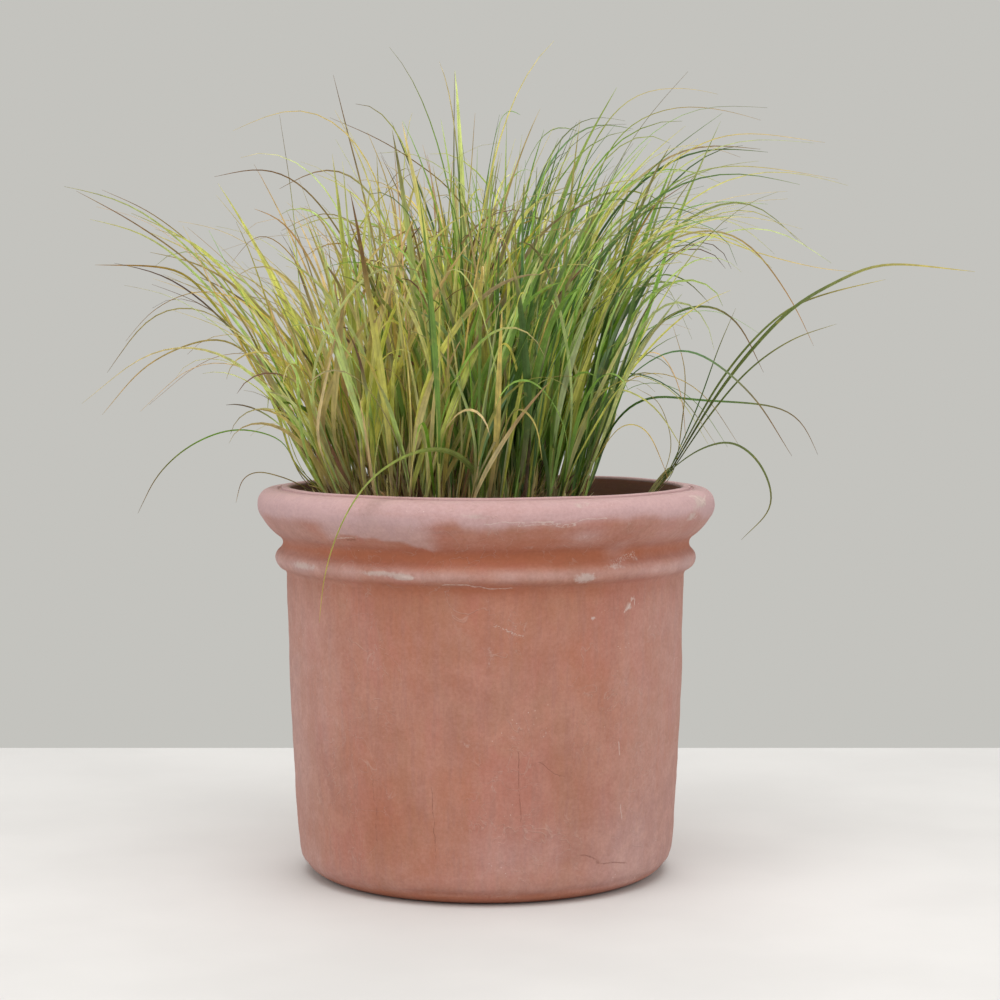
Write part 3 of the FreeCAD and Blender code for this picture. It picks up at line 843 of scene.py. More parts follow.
def clump_point(rho, phi, z):
    """Points at distances and bearings from the clump's axis."""
    return np.stack([CLUMP[0] + rho * np.cos(phi), CLUMP[1] + rho * np.sin(phi), z], 1)


def make_tillers():
    """Feet, lean and bearing of every sheath in the clump."""
    count = 250
    k = np.arange(count)
    rho = CLUMP_R * np.sqrt((k + 0.5) / count) + rng.normal(0, 0.004, count)
    rho = np.clip(rho, 0.002, FEET_R)
    phi = np.radians(k * 137.508 + 12) + rng.normal(0, 0.03, count)
    foot = clump_point(rho, phi, crown_height(rho) - 0.004)
    left = foot[:, 0] + rng.normal(0, 0.022, count) < CLUMP[0] + 0.005
    off = foot[:, 0] - np.where(left, -0.112, 0.004)
    lean_x = np.where(left, np.where(off < 0, off * 5.6, off * 1.6), np.where(off > 0, off * 2.1, off * 1.2))
    lean_x = lean_x + rng.normal(0, 0.085, count)
    lean_y = foot[:, 1] * 2.5 + rng.normal(0, 0.085, count)
    return foot, np.arctan(np.hypot(lean_x, lean_y)), np.arctan2(lean_y, lean_x), rho, phi, left


def sheath_tint(palette):
    """Colour maker for the sheaths of one plant."""
    def make(n, steps):
        body = pick(palette, n)
        tip, low = pick(palette, n), body * 0.55 + TAN * 0.25
        return leaf_tint(steps, body, tip, low, rng.uniform(0.2, 0.9, n), rng.uniform(0.5, 0.9, n),
                         rng.uniform(0, 1, n))
    return make


def make_sheaths(foot, tilt, bearing, rho, left):
    """Short stiff ribbons that hold the leaves: the centre lines of all, and the ribbons of each plant."""
    n = len(foot)
    height = rng.uniform(0.10, 0.19, n) * (1 - 0.25 * (rho / CLUMP_R) ** 2)
    zero = np.zeros(n)
    stem = grow(foot, tilt, bearing, height, rng.normal(0, 0.05, n), zero + 1.5, zero, STEM_STEPS, 0.006)
    good = clear_of_pot(stem[:, 2:])
    sheaths = {}
    for plant, mask, palette in (("left", left, LEFT_SHEATHS), ("right", ~left, RIGHT_SHEATHS)):
        mine = stem[mask & good]
        m = len(mine)
        sheaths[plant] = [batch(
            mine, rng.uniform(0.0032, 0.0050, m), rng.uniform(0, 6.28, m), rng.normal(0, 0.6, m),
            sheath_tint(palette), fold=0.30, base=1.0, full=0.1, taper=7)]
    return stem, sheaths


# Share of the sheaths that have a leaf of each rank. The ranks from WIRY on are the thin arching tips.
RANKS = (1.0, 0.9, 0.85, 0.60, 0.50, 0.42, 0.30)
WIRY = 5


def on_sheath(stem, at):
    """The point at a share of each sheath's length."""
    index = at * (STEM_STEPS - 1)
    low = np.clip(index.astype(int), 0, STEM_STEPS - 2)
    each = np.arange(len(stem))
    below, above = stem[each, low], stem[each, low + 1]
    return below + (above - below) * (index - low)[:, None]


def habit(rank, left):
    """Length, bend, power of the bend, width and turn away from the sheath, for a leaf of every sheath."""
    n = len(left)
    kind = rng.uniform(0, 1, n)
    if rank >= WIRY:
        length = rng.uniform(0.33, 0.50, n)
        bend, power = rng.uniform(0.7, 2.1, n), rng.uniform(2.6, 5.0, n)
        width = rng.uniform(0.0026, 0.0046, n)
        away = np.where(left, rng.normal(0, 1.6, n), rng.normal(0, 0.9, n))
    else:
        # most leaves are nearly straight, some arch, a few hang
        straight, hanging = kind < 0.62, kind >= 0.88
        short = rng.uniform(0, 1, n) < 0.80
        length = np.where(short, rng.uniform(0.19, 0.34, n), rng.uniform(0.34, 0.47, n))
        bend = np.where(straight, rng.uniform(0.02, 0.38, n),
                        np.where(~hanging, rng.uniform(0.5, 1.3, n), rng.uniform(1.4, 2.6, n)))
        power = np.where(straight, rng.uniform(1.6, 2.6, n), rng.uniform(2.2, 3.8, n))
        width = rng.uniform(0.0046, 0.0108, n) * np.where(hanging, 0.68, 1.0)
        away = rng.normal(0, 0.55 + 0.6 * (rank > 2), n)
    return length * np.where(left, 0.88, 1.02), bend, power, width, away


def steer(path, bearing, face):
    """Turns the paths' feet to the sheath's bearing, so that leaves don't fan out of the crown sideways."""
    s = np.linspace(0, 1, STEPS)[None, :]
    turn = face[:, None] * smooth(s, 0, 0.5) + bearing[:, None] * (1 - smooth(s, 0, 0.5))
    delta = np.diff(path, axis=1)
    flat = np.hypot(delta[..., 0], delta[..., 1])
    delta[..., 0], delta[..., 1] = flat * np.cos(turn[:, 1:]), flat * np.sin(turn[:, 1:])
    path[:, 1:] = path[:, :1] + np.cumsum(delta, 1)


def make_grass():
    """Ribbons of the clump's leaves for each quarter, and of its sheaths for each plant."""
    foot, tilt, bearing, rho, phi, left = make_tillers()
    stem, sheaths = make_sheaths(foot, tilt, bearing, rho, left)
    leaves = {"left": [], "right": [], "front": [], "back": []}
    where = quarter(phi)
    n = len(foot)
    for rank, share in enumerate(RANKS):
        take = rng.uniform(0, 1, n) < share * np.where(left, 0.84, 1.0)
        start = on_sheath(stem, rng.uniform(0.12, 0.95, n) if rank else rng.uniform(0.0, 0.1, n))
        length, bend, power, width, away = habit(rank, left)
        face = bearing + away
        first = np.abs(tilt + rng.normal(0.0, 0.055, n))
        path = grow(start, first, face, length, bend, power, rng.normal(0, 0.35, n), STEPS)
        steer(path, bearing, face)
        good = take & clear_of_pot(path[:, 2:] if rank == 0 else path)
        dryness = (0.95, 0.75) if rank >= WIRY else (0.62, 0.35)
        for q in leaves:
            for plant, mask, dry in ((True, left, dryness[0]), (False, ~left, dryness[1])):
                chosen = good & mask & (where == q)
                m = int(chosen.sum())
                if m:
                    twist = rng.normal(0, 0.5, m) + rng.choice([0, 1.57], m)
                    leaves[q].append(batch(
                        path[chosen], width[chosen], twist, rng.normal(0, 0.9, m), tints(plant, dry)))
    return leaves, sheaths


def spline(points, steps):
    """Smooth line through a few points, shape (steps, 3), its steps evenly spaced."""
    p = np.array(points, float)
    p = np.vstack([2 * p[0] - p[1], p, 2 * p[-1] - p[-2]])
    line = []
    for t in np.linspace(0, len(p) - 3 - 1e-9, 240):
        i = int(t)
        f = t - i
        a, b, c, d = p[i:i + 4]
        square, cube = 2 * a - 5 * b + 4 * c - d, 3 * b - a - 3 * c + d
        line.append(0.5 * (2 * b + (c - a) * f + square * f * f + cube * f ** 3))
    line = np.array(line)
    travelled = np.concatenate([[0], np.cumsum(np.linalg.norm(np.diff(line, axis=0), axis=1))])
    even = np.linspace(0, travelled[-1], steps)
    line = np.stack([np.interp(even, travelled, line[:, k]) for k in range(3)], axis=1)
    for _ in range(4):
        line[1:-1] = (line[:-2] + 2 * line[1:-1] + line[2:]) / 4
    return line


def half_plane(phi, points):
    """Way points given as (distance from the clump's axis, height) in mm, at one bearing in degrees."""
    a = math.radians(phi)
    return [(CLUMP[0] + rho * MM * math.cos(a), rho * MM * math.sin(a), z * MM) for rho, z in points]


# Leaves that give the clump its outline: bearing (degrees), width (mm), way points for half_plane, colours of
# the leaf and its tip.
OUTLINE_LEAVES = [
    (181, 6.5, [(150, 482), (205, 520), (238, 622), (271, 714), (337, 793), (416, 852), (495, 896)],
     OLIVE, RED_BROWN),
    (178, 5.0, [(150, 482), (205, 530), (240, 640), (280, 740), (332, 812), (400, 868), (466, 899)],
     LIME, RED_BROWN),
    (184, 9.5, [(150, 482), (208, 530), (231, 596), (271, 688), (310, 740), (350, 786), (390, 797),
                (469, 799)],
     YELLOW_GREEN, RUST),
    (187, 5.5, [(150, 482), (205, 560), (240, 640), (284, 694), (330, 701), (403, 668), (460, 605)],
     OLIVE, TAN),
    (177, 4.5, [(154, 482), (211, 535), (231, 569), (291, 583), (350, 563), (396, 523), (424, 471)],
     GREEN, RED_BROWN),
    (183, 3.5, [(158, 484), (205, 511), (231, 522), (260, 528), (280, 518), (289, 488)], OLIVE, RED_BROWN),
    (172, 7.0, [(76, 492), (93, 648), (113, 753), (152, 839), (205, 905), (258, 928), (324, 918)],
     OLIVE, RED_BROWN),
    (166, 5.0, [(150, 484), (178, 540), (198, 648), (215, 767), (225, 885), (242, 1001)], PALE_GREEN, PURPLE),
    (188, 6.0, [(70, 492), (80, 622), (93, 753), (119, 885), (139, 964), (159, 1045)], OLIVE, PURPLE),
    (176, 4.5, [(-70, 492), (-68, 600), (-60, 720), (-40, 820), (0, 892), (47, 931), (99, 964), (165, 993)],
     OLIVE, RED_BROWN),
    (95, 5.5, [(20, 494), (24, 640), (26, 800), (18, 950), (6, 1050)], GREEN, PURPLE),
    (200, 3.5, [(120, 486), (150, 600), (180, 720), (214, 800), (262, 838), (300, 800)], STRAW, RED_BROWN),
    (193, 3.0, [(140, 484), (180, 600), (215, 690), (262, 742), (330, 765), (392, 742), (430, 700)],
     STRAW, RED_BROWN),
    (-98, 5.0, [(150, 482), (190, 545), (225, 590), (270, 600), (318, 560), (345, 522)], GREEN, TAN),
    (-72, 4.5, [(150, 482), (185, 550), (220, 600), (270, 618), (330, 600), (352, 560)], OLIVE, STRAW),
    (6, 3.8, [(110, 488), (138, 753), (165, 911), (198, 985), (244, 1027), (310, 1034), (349, 1026)],
     GREEN, TAN),
    (2, 3.6, [(116, 487), (151, 714), (178, 885), (217, 972), (283, 1006), (349, 1004), (402, 990)],
     GREEN, RUST),
    (-4, 4.6, [(128, 485), (158, 596), (191, 753), (244, 892), (310, 951), (376, 970), (481, 957)],
     YELLOW_GREEN, TAN),
    (4, 4.6, [(130, 485), (160, 600), (198, 740), (257, 878), (323, 925), (402, 930), (508, 914)],
     GREEN, TAN),
    (-7, 6.5, [(132, 485), (160, 590), (191, 688), (244, 800), (310, 842), (376, 832), (435, 760),
                (468, 694)],
     OLIVE, RUST),
    (8, 5.0, [(130, 485), (162, 600), (198, 727), (257, 830), (323, 846), (402, 819), (494, 797), (547, 793)],
     YELLOW_GREEN, TAN),
    (-2, 9.0, [(140, 484), (178, 556), (217, 648), (264, 720), (323, 747), (369, 726), (405, 659)],
     DEEP, RED_BROWN),
    (0, 6.5, [(150, 482), (185, 545), (216, 600), (257, 626), (323, 622), (415, 615), (455, 596), (479, 550)],
     DEEP, RED_BROWN),
    (-14, 13.0, [(120, 486), (160, 590), (205, 700), (262, 805), (300, 850)], GREEN, STRAW),
    (-6, 12.0, [(112, 487), (148, 610), (190, 740), (240, 840), (272, 890)], LIME, RUST),
    (-30, 5.5, [(146, 482), (190, 560), (240, 640), (330, 690), (420, 640), (480, 560)],
     BLUE_GREEN, RED_BROWN),
    (-20, 2.8, [(150, 482), (190, 540), (228, 590), (262, 586), (286, 540), (292, 522)], STRAW, RUST),
    (-10, 2.6, [(150, 482), (186, 560), (214, 640), (262, 690), (296, 640), (306, 560)], TAN, RUST),
]
# Leaves of the side shoot, given in the same way.
SIDE_LEAVES = [
    (-13.2, 11.5, [(262, 496), (290, 536), (342, 622), (390, 686), (444, 742), (500, 775), (560, 797),
                (671, 787)],
     MOSS, STRAW),
    (-12.6, 7.5, [(262, 498), (294, 548), (346, 640), (392, 700), (440, 742), (492, 762), (560, 778)],
     MOSS, STRAW),
    (-13.9, 6.0, [(262, 498), (288, 530), (340, 606), (390, 664), (444, 702), (500, 722)], MOSS, OLIVE),
    (-14.6, 4.5, [(262, 498), (286, 532), (322, 612), (350, 690), (372, 742)], DEEP, OLIVE),
    (-15.6, 5.5, [(262, 500), (289, 533), (330, 562), (372, 570), (408, 540), (420, 490), (382, 446)],
     MOSS, OLIVE),
    (-10.8, 3.5, [(262, 498), (289, 530), (300, 590), (304, 660), (288, 720)], OLIVE, TAN),
    (-17.5, 3.0, [(262, 498), (280, 524), (292, 570), (276, 620), (246, 640)], OLIVE, STRAW),
]

# The leaf that hangs over the rim at the front, in metres.
OVER_RIM = [
    (0.005, -0.115, 0.486), (-0.015, -0.165, 0.540), (-0.050, -0.205, 0.566), (-0.095, -0.240, 0.560),
    (-0.140, -0.270, 0.530), (-0.172, -0.287, 0.480), (-0.192, -0.287, 0.420), (-0.200, -0.277, 0.360),
]

# Families of leaves that fill the outline: count, whether they belong to the left plant, bearing and spread
# (degrees), width (mm), way points for half_plane.
FAMILIES = [
    (7, True, 180, 12, 6.5, [(146, 484), (205, 575), (258, 690), (330, 790), (400, 850), (470, 870)]),
    (4, True, 192, 14, 4.5, [(140, 484), (190, 560), (246, 650), (310, 712), (380, 710), (440, 640)]),
    (8, False, 10, 16, 5.5, [(100, 488), (150, 640), (196, 790), (262, 900), (350, 960), (450, 960)]),
    (8, False, 4, 22, 5.5, [(118, 486), (160, 620), (212, 730), (290, 820), (370, 850), (430, 800)]),
    (5, False, -8, 18, 3.8, [(130, 484), (180, 580), (222, 650), (280, 690), (350, 660), (396, 580)]),
    (5, False, 20, 30, 3.2, [(110, 486), (150, 620), (190, 760), (240, 850), (300, 840), (330, 740)]),
    (9, True, 150, 110, 10.5, [(60, 492), (72, 600), (84, 720), (110, 800), (150, 832), (192, 800)]),
    (7, True, -40, 80, 9.5, [(20, 494), (36, 620), (52, 740), (84, 812), (130, 818), (168, 772)]),
    (6, True, -120, 60, 10.0, [(50, 492), (70, 620), (86, 740), (104, 830), (116, 880)]),
    (9, False, 0, 60, 10.0, [(70, 490), (100, 620), (135, 750), (180, 850), (225, 905)]),
    (9, True, 150, 50, 4.0, [(60, 492), (80, 640), (96, 780), (130, 890), (200, 940), (280, 910)]),
    (8, True, 20, 60, 4.0, [(-30, 492), (-20, 640), (0, 780), (50, 870), (120, 910), (190, 880)]),
    (7, False, 60, 40, 4.5, [(70, 492), (95, 640), (120, 790), (170, 920), (240, 985), (320, 985)]),
    (14, False, 0, 70, 6.0, [(24, 494), (30, 640), (40, 780), (54, 900), (72, 990)]),
    (14, False, 4, 44, 7.0, [(60, 492), (88, 640), (124, 780), (166, 900), (214, 985)]),
    (12, False, 0, 40, 6.0, [(84, 489), (122, 640), (172, 780), (230, 890), (298, 955)]),
    (9, False, 0, 34, 5.0, [(100, 487), (140, 620), (190, 740), (250, 830), (322, 880), (390, 890)]),
    (12, True, 170, 60, 5.5, [(14, 494), (26, 640), (46, 780), (74, 880), (112, 950)]),
    (10, True, 180, 40, 5.5, [(50, 492), (76, 640), (112, 770), (156, 870), (208, 935)]),
    (8, True, 180, 30, 5.0, [(96, 487), (132, 600), (178, 700), (232, 780), (296, 835), (356, 850)]),
    (12, True, 180, 18, 5.5, [(146, 484), (190, 570), (236, 660), (290, 740), (340, 790), (400, 820)]),
    (12, True, 178, 28, 6.0, [(120, 486), (160, 600), (200, 710), (236, 800), (280, 870)]),
    (12, False, 0, 28, 5.0, [(110, 486), (156, 640), (210, 780), (275, 875), (350, 905), (420, 885)]),
    (12, False, 2, 34, 6.0, [(80, 489), (110, 640), (148, 800), (190, 930), (240, 1010)]),
]


def family_batch(count, left, phi, spread, width, points):
    """Leaves like one another, each a little longer, shorter, steeper or flatter than the next."""
    paths = []
    while len(paths) < count:
        grow_by = rng.uniform(0.78, 1.10)
        lift = rng.uniform(0.86, 1.08)
        shift = rng.uniform(0.55, 1.0)
        base = points[0]
        own = [(base[0] * shift + (rho - base[0]) * grow_by, base[1] + (z - base[1]) * grow_by * lift)
               for rho, z in points]
        path = spline(half_plane(phi + rng.normal(0, spread / 2), own), FAMILY_STEPS)
        outward = np.linspace(0, 1, FAMILY_STEPS) ** 2
        path[:, 0] += rng.normal(0, 0.05) * outward
        path[:, 1] += rng.normal(0, 0.05) * outward
        if clear_of_pot(path[None, 1:])[0]:
            paths.append(path)
    n = len(paths)
    return batch(np.array(paths), width * MM * rng.uniform(0.6, 1.25, n), rng.normal(0.3, 0.4, n),
                 rng.normal(0, 0.8, n), tints(left, 0.7 if left else 0.45), full=0.25, taper=2.0)


def one_leaf(points, width, colour, tip):
    """A leaf placed one by one: its way points in metres, its width in mm, its colour and its tip's."""
    path = spline(points, OUTLINE_STEPS)

    def tint(n, steps):
        one = np.ones(n)
        return leaf_tint(steps, colour[None] * rng.uniform(1.1, 1.4), tip[None], colour[None] * 0.9,
                         one * 0.6, one * 0.6, one * 0.8)
    twist, twist_end = np.array([0.35]), np.array([0.5])
    return batch(path[None], np.array([width * MM]), twist, twist_end, tint, full=0.4, taper=1.7)


def outline_leaf(phi, width, points, colour, tip):
    return one_leaf(half_plane(phi, points), width, colour, tip)


leaf_look = leaf_material("leaf")
sheath_look = leaf_material("sheath", 0.55)


def make_planting():
    """All leaves and sheaths but those of the side shoot's stem, one piece for each group of CAD leaves."""
    leaves, sheaths = make_grass()
    for phi, *leaf in OUTLINE_LEAVES:
        leaves[str(quarter(np.radians(phi)))].append(outline_leaf(phi, *leaf))
    for count, left, phi, *family in FAMILIES:
        leaves[str(quarter(np.radians(phi)))].append(family_batch(count, left, phi, *family))
    leaves["front"].append(one_leaf(OVER_RIM, 14.0, PALE_GREEN, STRAW))
    slots = {"left": "leaf_yellow", "front": "leaf_yellow", "right": "leaf_green", "back": "leaf_green"}
    for q, parts in leaves.items():
        leaf_piece("leaves_" + q, parts, leaf_look, slots[q], "leaf_blades_" + q)
    leaf_piece("sheaths_left", sheaths["left"], sheath_look, "sheath_red", "tillers_left")
    leaf_piece("sheaths_right", sheaths["right"], sheath_look, "sheath_green", "tillers_right")
    parts = [outline_leaf(*leaf) for leaf in SIDE_LEAVES]
    leaf_piece("side_leaves", parts, leaf_look, "leaf_green", "side_shoot_blades")


# ------------------------------------------------------------------ what the pot holds
def lump_shapes(count, rings, seed, rough, flat):
    """Unit pebbles or crumbs: spheres pushed in and out by noise. Returns vertex arrays and faces."""
    bm = bmesh.new()
    bmesh.ops.create_icosphere(bm, subdivisions=rings, radius=1.0)
    base = np.array([v.co[:] for v in bm.verts])
    faces = np.array([[v.index for v in f.verts] for f in bm.faces])
    bm.free()
    shapes = []
    for k in range(count):
        push = 1 + rough * fbm(base * 1.3 + 10 * k, 3, seed + k)
        stretch = np.array([1.0, rng.uniform(0.65, 0.95), rng.uniform(flat - 0.2, flat)])
        shapes.append(base * push[:, None] * stretch)
    return shapes, faces


def spin(points, rotation):
    """Turns points by random yaw, pitch and roll angles."""
    a, b, c = rotation
    yaw = np.array([[math.cos(a), -math.sin(a), 0], [math.sin(a), math.cos(a), 0], [0, 0, 1]])
    pitch = np.array([[1, 0, 0], [0, math.cos(b), -math.sin(b)], [0, math.sin(b), math.cos(b)]])
    roll = np.array([[math.cos(c), 0, math.sin(c)], [0, 1, 0], [-math.sin(c), 0, math.cos(c)]])
    return points @ (yaw @ pitch @ roll).T


def scatter(spots, sizes, shapes, faces):
    """One array of vertices and faces for many lumps, with a random number for each vertex's lump."""
    verts, quads, own, start = [], [], [], 0
    for spot, size in zip(spots, sizes):
        shape = shapes[rng.integers(len(shapes))]
        turn = rng.uniform(0, 6.28), rng.uniform(-3.14, 3.14), rng.uniform(-3.14, 3.14)
        lump = spin(shape * size, turn)
        verts.append(lump + spot)
        quads.append(faces + start)
        own.append(np.full(len(shape), rng.uniform()))
        start += len(shape)
    return np.concatenate(verts), np.concatenate(quads), np.concatenate(own)


# The pot's inside as (height, radius) in metres.
CAVITY = (
    (0.060, 0.224), (0.145, 0.2289), (0.230, 0.2334), (0.330, 0.2372), (0.430, 0.240), (0.470, 0.2475),
    (0.506, 0.257),
)


def inside_radius(z):
    """Radius in metres of the pot's inside at height z in metres."""
    heights, radii = zip(*CAVITY)
    return np.interp(z, heights, radii)


def from_node(node, name, voxel, amount, scale, seed):
    """Mesh of a CAD node, remeshed finely and pushed inwards by noise so that it stays in its space."""
    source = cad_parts[node]
    copy = bpy.data.objects.new(name + "_work", source.data.copy())
    bpy.context.scene.collection.objects.link(copy)
    remesh = copy.modifiers.new("remesh", "REMESH")
    remesh.mode, remesh.voxel_size = "VOXEL", voxel
    graph = bpy.context.evaluated_depsgraph_get()
    mesh = bpy.data.meshes.new_from_object(copy.evaluated_get(graph))
    bpy.data.objects.remove(copy)
    n = len(mesh.vertices)
    co, no = np.zeros(n * 3), np.zeros(n * 3)
    mesh.vertices.foreach_get("co", co)
    mesh.vertices.foreach_get("normal", no)
    co, no = co.reshape(-1, 3), no.reshape(-1, 3)
    push = amount * (0.5 * fbm(co / scale, 4, seed) - 0.6)
    co = co + no * np.clip(push, -2 * amount, 0)[:, None]
    mesh.vertices.foreach_set("co", co.ravel())
    return smooth_object(name, mesh)


def crock_material():
    """Broken terracotta: orange skin, paler gritty edges, old compost stains."""
    g = Graph("crock", roughness=0.9, specular=0.2)
    skin = g.mix(g.window(g.noise(30, 5, 0.6), 0.35, 0.65), (0.43, 0.17, 0.10), (0.36, 0.16, 0.11))
    grit = g.window(g.noise(420, 3, 0.7), 0.45, 0.62)
    colour = g.mix(g.share(grit, 0.45), skin, (0.52, 0.30, 0.22))
    stain = g.window(g.noise(55, 4, 0.65), 0.52, 0.66, 0, 0.7)
    colour = g.mix(stain, colour, (0.13, 0.085, 0.06))
    return g.finish(colour, g.bump(g.noise(600, 4, 0.6), 0.4, 0.0006))


def gravel_material():
    """River pebbles: a colour for each stone, fine veins and dust."""
    g = Graph("gravel", roughness=0.75, specular=0.35)
    own = g.split(g.attribute("own").outputs["Color"])[0]
    stone = g.ramp(own, (0.0, (0.30, 0.28, 0.25)), (0.3, (0.46, 0.43, 0.38)), (0.55, (0.36, 0.29, 0.22)),
                   (0.8, (0.52, 0.50, 0.46)), (1.0, (0.24, 0.24, 0.24)))
    veins = g.window(g.noise(140, 5, 0.7, distortion=1.5), 0.48, 0.53, 0, 0.3)
    colour = g.mix(veins, stone, (0.62, 0.60, 0.56))
    speck = g.window(g.noise(900, 2, 0.5), 0.55, 0.7, 0, 0.4)
    colour = g.mix(speck, colour, (0.16, 0.14, 0.12))
    return g.finish(colour, g.bump(g.noise(500, 4, 0.6), 0.3, 0.0004))


def fleece_material():
    """Spun felt: crossing fibres, pale, damp and brown where compost lies on it."""
    g = Graph("fleece", roughness=0.95, specular=0.15, Sheen_Weight=0.25)
    one = g.noise(420, 3, 0.7, source=g.scaled(1, 0.08, 1))
    other = g.noise(420, 3, 0.7, source=g.scaled(0.08, 1, 1, move=(3, 1, 0)))
    fibre = g.math("MAXIMUM", one, other)
    colour = g.mix(g.window(fibre, 0.45, 0.70), (0.60, 0.60, 0.56), (0.80, 0.80, 0.76))
    stain = g.window(g.noise(16, 5, 0.6), 0.42, 0.64, 0, 0.75)
    colour = g.mix(stain, colour, (0.30, 0.22, 0.15))
    return g.finish(colour, g.bump(fibre, 0.5, 0.0007))


def compost_material():
    """Peaty compost: dark crumbs, lighter fibres, moist patches."""
    g = Graph("compost", roughness=0.92, specular=0.2)
    own = g.split(g.attribute("own").outputs["Color"])
    base = g.mix(g.window(g.noise(70, 5, 0.65), 0.36, 0.66), (0.030, 0.019, 0.013), (0.085, 0.055, 0.036))
    fibre = g.window(g.noise(260, 4, 0.7, source=g.scaled(1, 0.22, 0.6)), 0.55, 0.66, 0, 0.6)
    colour = g.mix(fibre, base, (0.19, 0.125, 0.075))
    bark = g.window(own[0], 0.70, 0.74)
    colour = g.mix(g.share(bark, 0.8), colour, (0.15, 0.085, 0.050))
    grit = g.window(own[0], 0.955, 0.96)
    colour = g.mix(g.share(grit, 0.85), colour, (0.60, 0.58, 0.53))
    root = own[1]
    colour = g.mix(g.share(root, 0.85), colour, (0.50, 0.40, 0.27))
    crumb = g.window(g.noise(420, 3, 0.7), 0.35, 0.65, 0.78, 1.25)
    colour = g.shade(colour, crumb)
    height = g.math("ADD", g.noise(300, 5, 0.75), g.math("MULTIPLY", g.cells(150.0), 0.8))
    return g.finish(colour, g.bump(height, 1.0, 0.0028))


def root_material():
    """Matted roots in compost: pale tangled strands over brown."""
    g = Graph("roots", roughness=0.9, specular=0.2)
    web = g.cells(95.0, "DISTANCE_TO_EDGE", g.scaled(1, 1, 0.55))
    fine = g.cells(210.0, "DISTANCE_TO_EDGE", g.scaled(1, 1, 0.7, move=(2, 3, 1)))
    strands = g.math("MAXIMUM", g.window(web, 0.07, 0.02), g.share(g.window(fine, 0.09, 0.02), 0.7))
    base = g.mix(g.window(g.noise(60, 5, 0.6), 0.4, 0.65), (0.05, 0.032, 0.022), (0.13, 0.085, 0.055))
    colour = g.mix(strands, base, (0.44, 0.34, 0.22))
    return g.finish(colour, g.bump(strands, 0.7, 0.0016))


def thatch_material():
    """Dead leaf bases: straw and brown fibres running up."""
    g = Graph("thatch", roughness=0.85, specular=0.2)
    fibre = g.noise(330, 4, 0.7, source=g.scaled(1, 1, 0.10))
    colour = g.ramp(g.window(fibre, 0.30, 0.70), (0.0, (0.035, 0.024, 0.016)), (0.45, (0.11, 0.075, 0.045)),
                    (0.75, (0.24, 0.18, 0.10)), (1.0, (0.36, 0.29, 0.17)))
    return g.finish(colour, g.bump(fibre, 0.8, 0.0018))


def make_crocks():
    """The arched crock over the drain hole and the loose ones round it."""
    look = crock_material()
    for node, name, seed in (("drain_crock", "crock_over_hole", 3), ("crock_shards", "crock_pieces", 8)):
        obj = from_node(node, name, 0.0015, 0.0007, 0.006, seed)
        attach(obj, "pot")
        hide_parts(node)
        wear(obj, look)


# Layers of pebbles in metres: height, outer radius, radius that the crocks take, and the share left out.
PEBBLE_LAYERS = (
    (0.0385, 0.2085, 0.150, 0.0), (0.0505, 0.2170, 0.150, 0.0), (0.0625, 0.2235, 0.0, 0.0),
    (0.0675, 0.2235, 0.0, 0.25),
)


def make_pebbles():
    """Drainage gravel: layers of pebbles on a loose grid, each layer shifted against the one below."""
    shapes, faces = lump_shapes(14, 2, 50, 0.24, 0.85)
    pitch, stray = 0.0155, 0.0030
    spots, sizes = [], []
    for level, (z, wall, crocks, left_out) in enumerate(PEBBLE_LAYERS):
        for i in range(-16, 17):
            for j in range(-18, 19):
                x = (i + 0.5 * (j % 2) + 0.37 * level) * pitch + rng.normal(0, stray)
                y = (j * 0.866 + 0.41 * level) * pitch + rng.normal(0, stray)
                r = math.hypot(x, y)
                size = rng.uniform(0.0070, 0.0108)
                if r > wall - size or r < crocks + size or (left_out and rng.uniform() < left_out):
                    continue
                spots.append((x, y, z + rng.normal(0, 0.0012)))
                sizes.append(size)
    verts, tris, own = scatter(spots, sizes, shapes, faces)
    verts[:, 2] = np.clip(verts[:, 2], 0.0284, 0.0758)
    stones = mesh_object("pebbles", verts, tris.tolist(), "pot")
    paint(stones, "own", np.stack([own] * 3, 1))
    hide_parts("drainage_gravel")
    wear(stones, gravel_material())


def make_fleece():
    """A thin disc that sags a little between the pebbles."""
    rings, columns = 56, 200
    upper, lower = 0.0779, 0.0766
    rr = np.linspace(0.004, 0.2232, rings)
    a = np.arange(columns) * 2 * math.pi / columns
    x, y = np.outer(rr, np.cos(a)).ravel(), np.outer(rr, np.sin(a)).ravel()
    p = np.stack([x, y, x * 0], 1)
    sag = 0.00045 * fbm(p / 0.016, 3, 77)
    top = np.stack([x, y, upper + sag], 1)
    under = np.stack([x, y, lower + sag], 1)
    verts = np.vstack([top, under, [[0, 0, upper]], [[0, 0, lower]]])
    n = rings * columns
    last = (rings - 1) * columns
    grid = np.array(revolve_faces(rings, columns, False))
    faces = grid[:, ::-1].tolist() + (grid + n).tolist()
    for j in range(columns):
        k = (j + 1) % columns
        faces.append((2 * n, j, k))
        faces.append((2 * n + 1, n + k, n + j))
        faces.append((last + k, last + j, n + last + j, n + last + k))
    fleece = mesh_object("fleece", verts, faces, "pot")
    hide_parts("filter_fleece")
    wear(fleece, fleece_material())


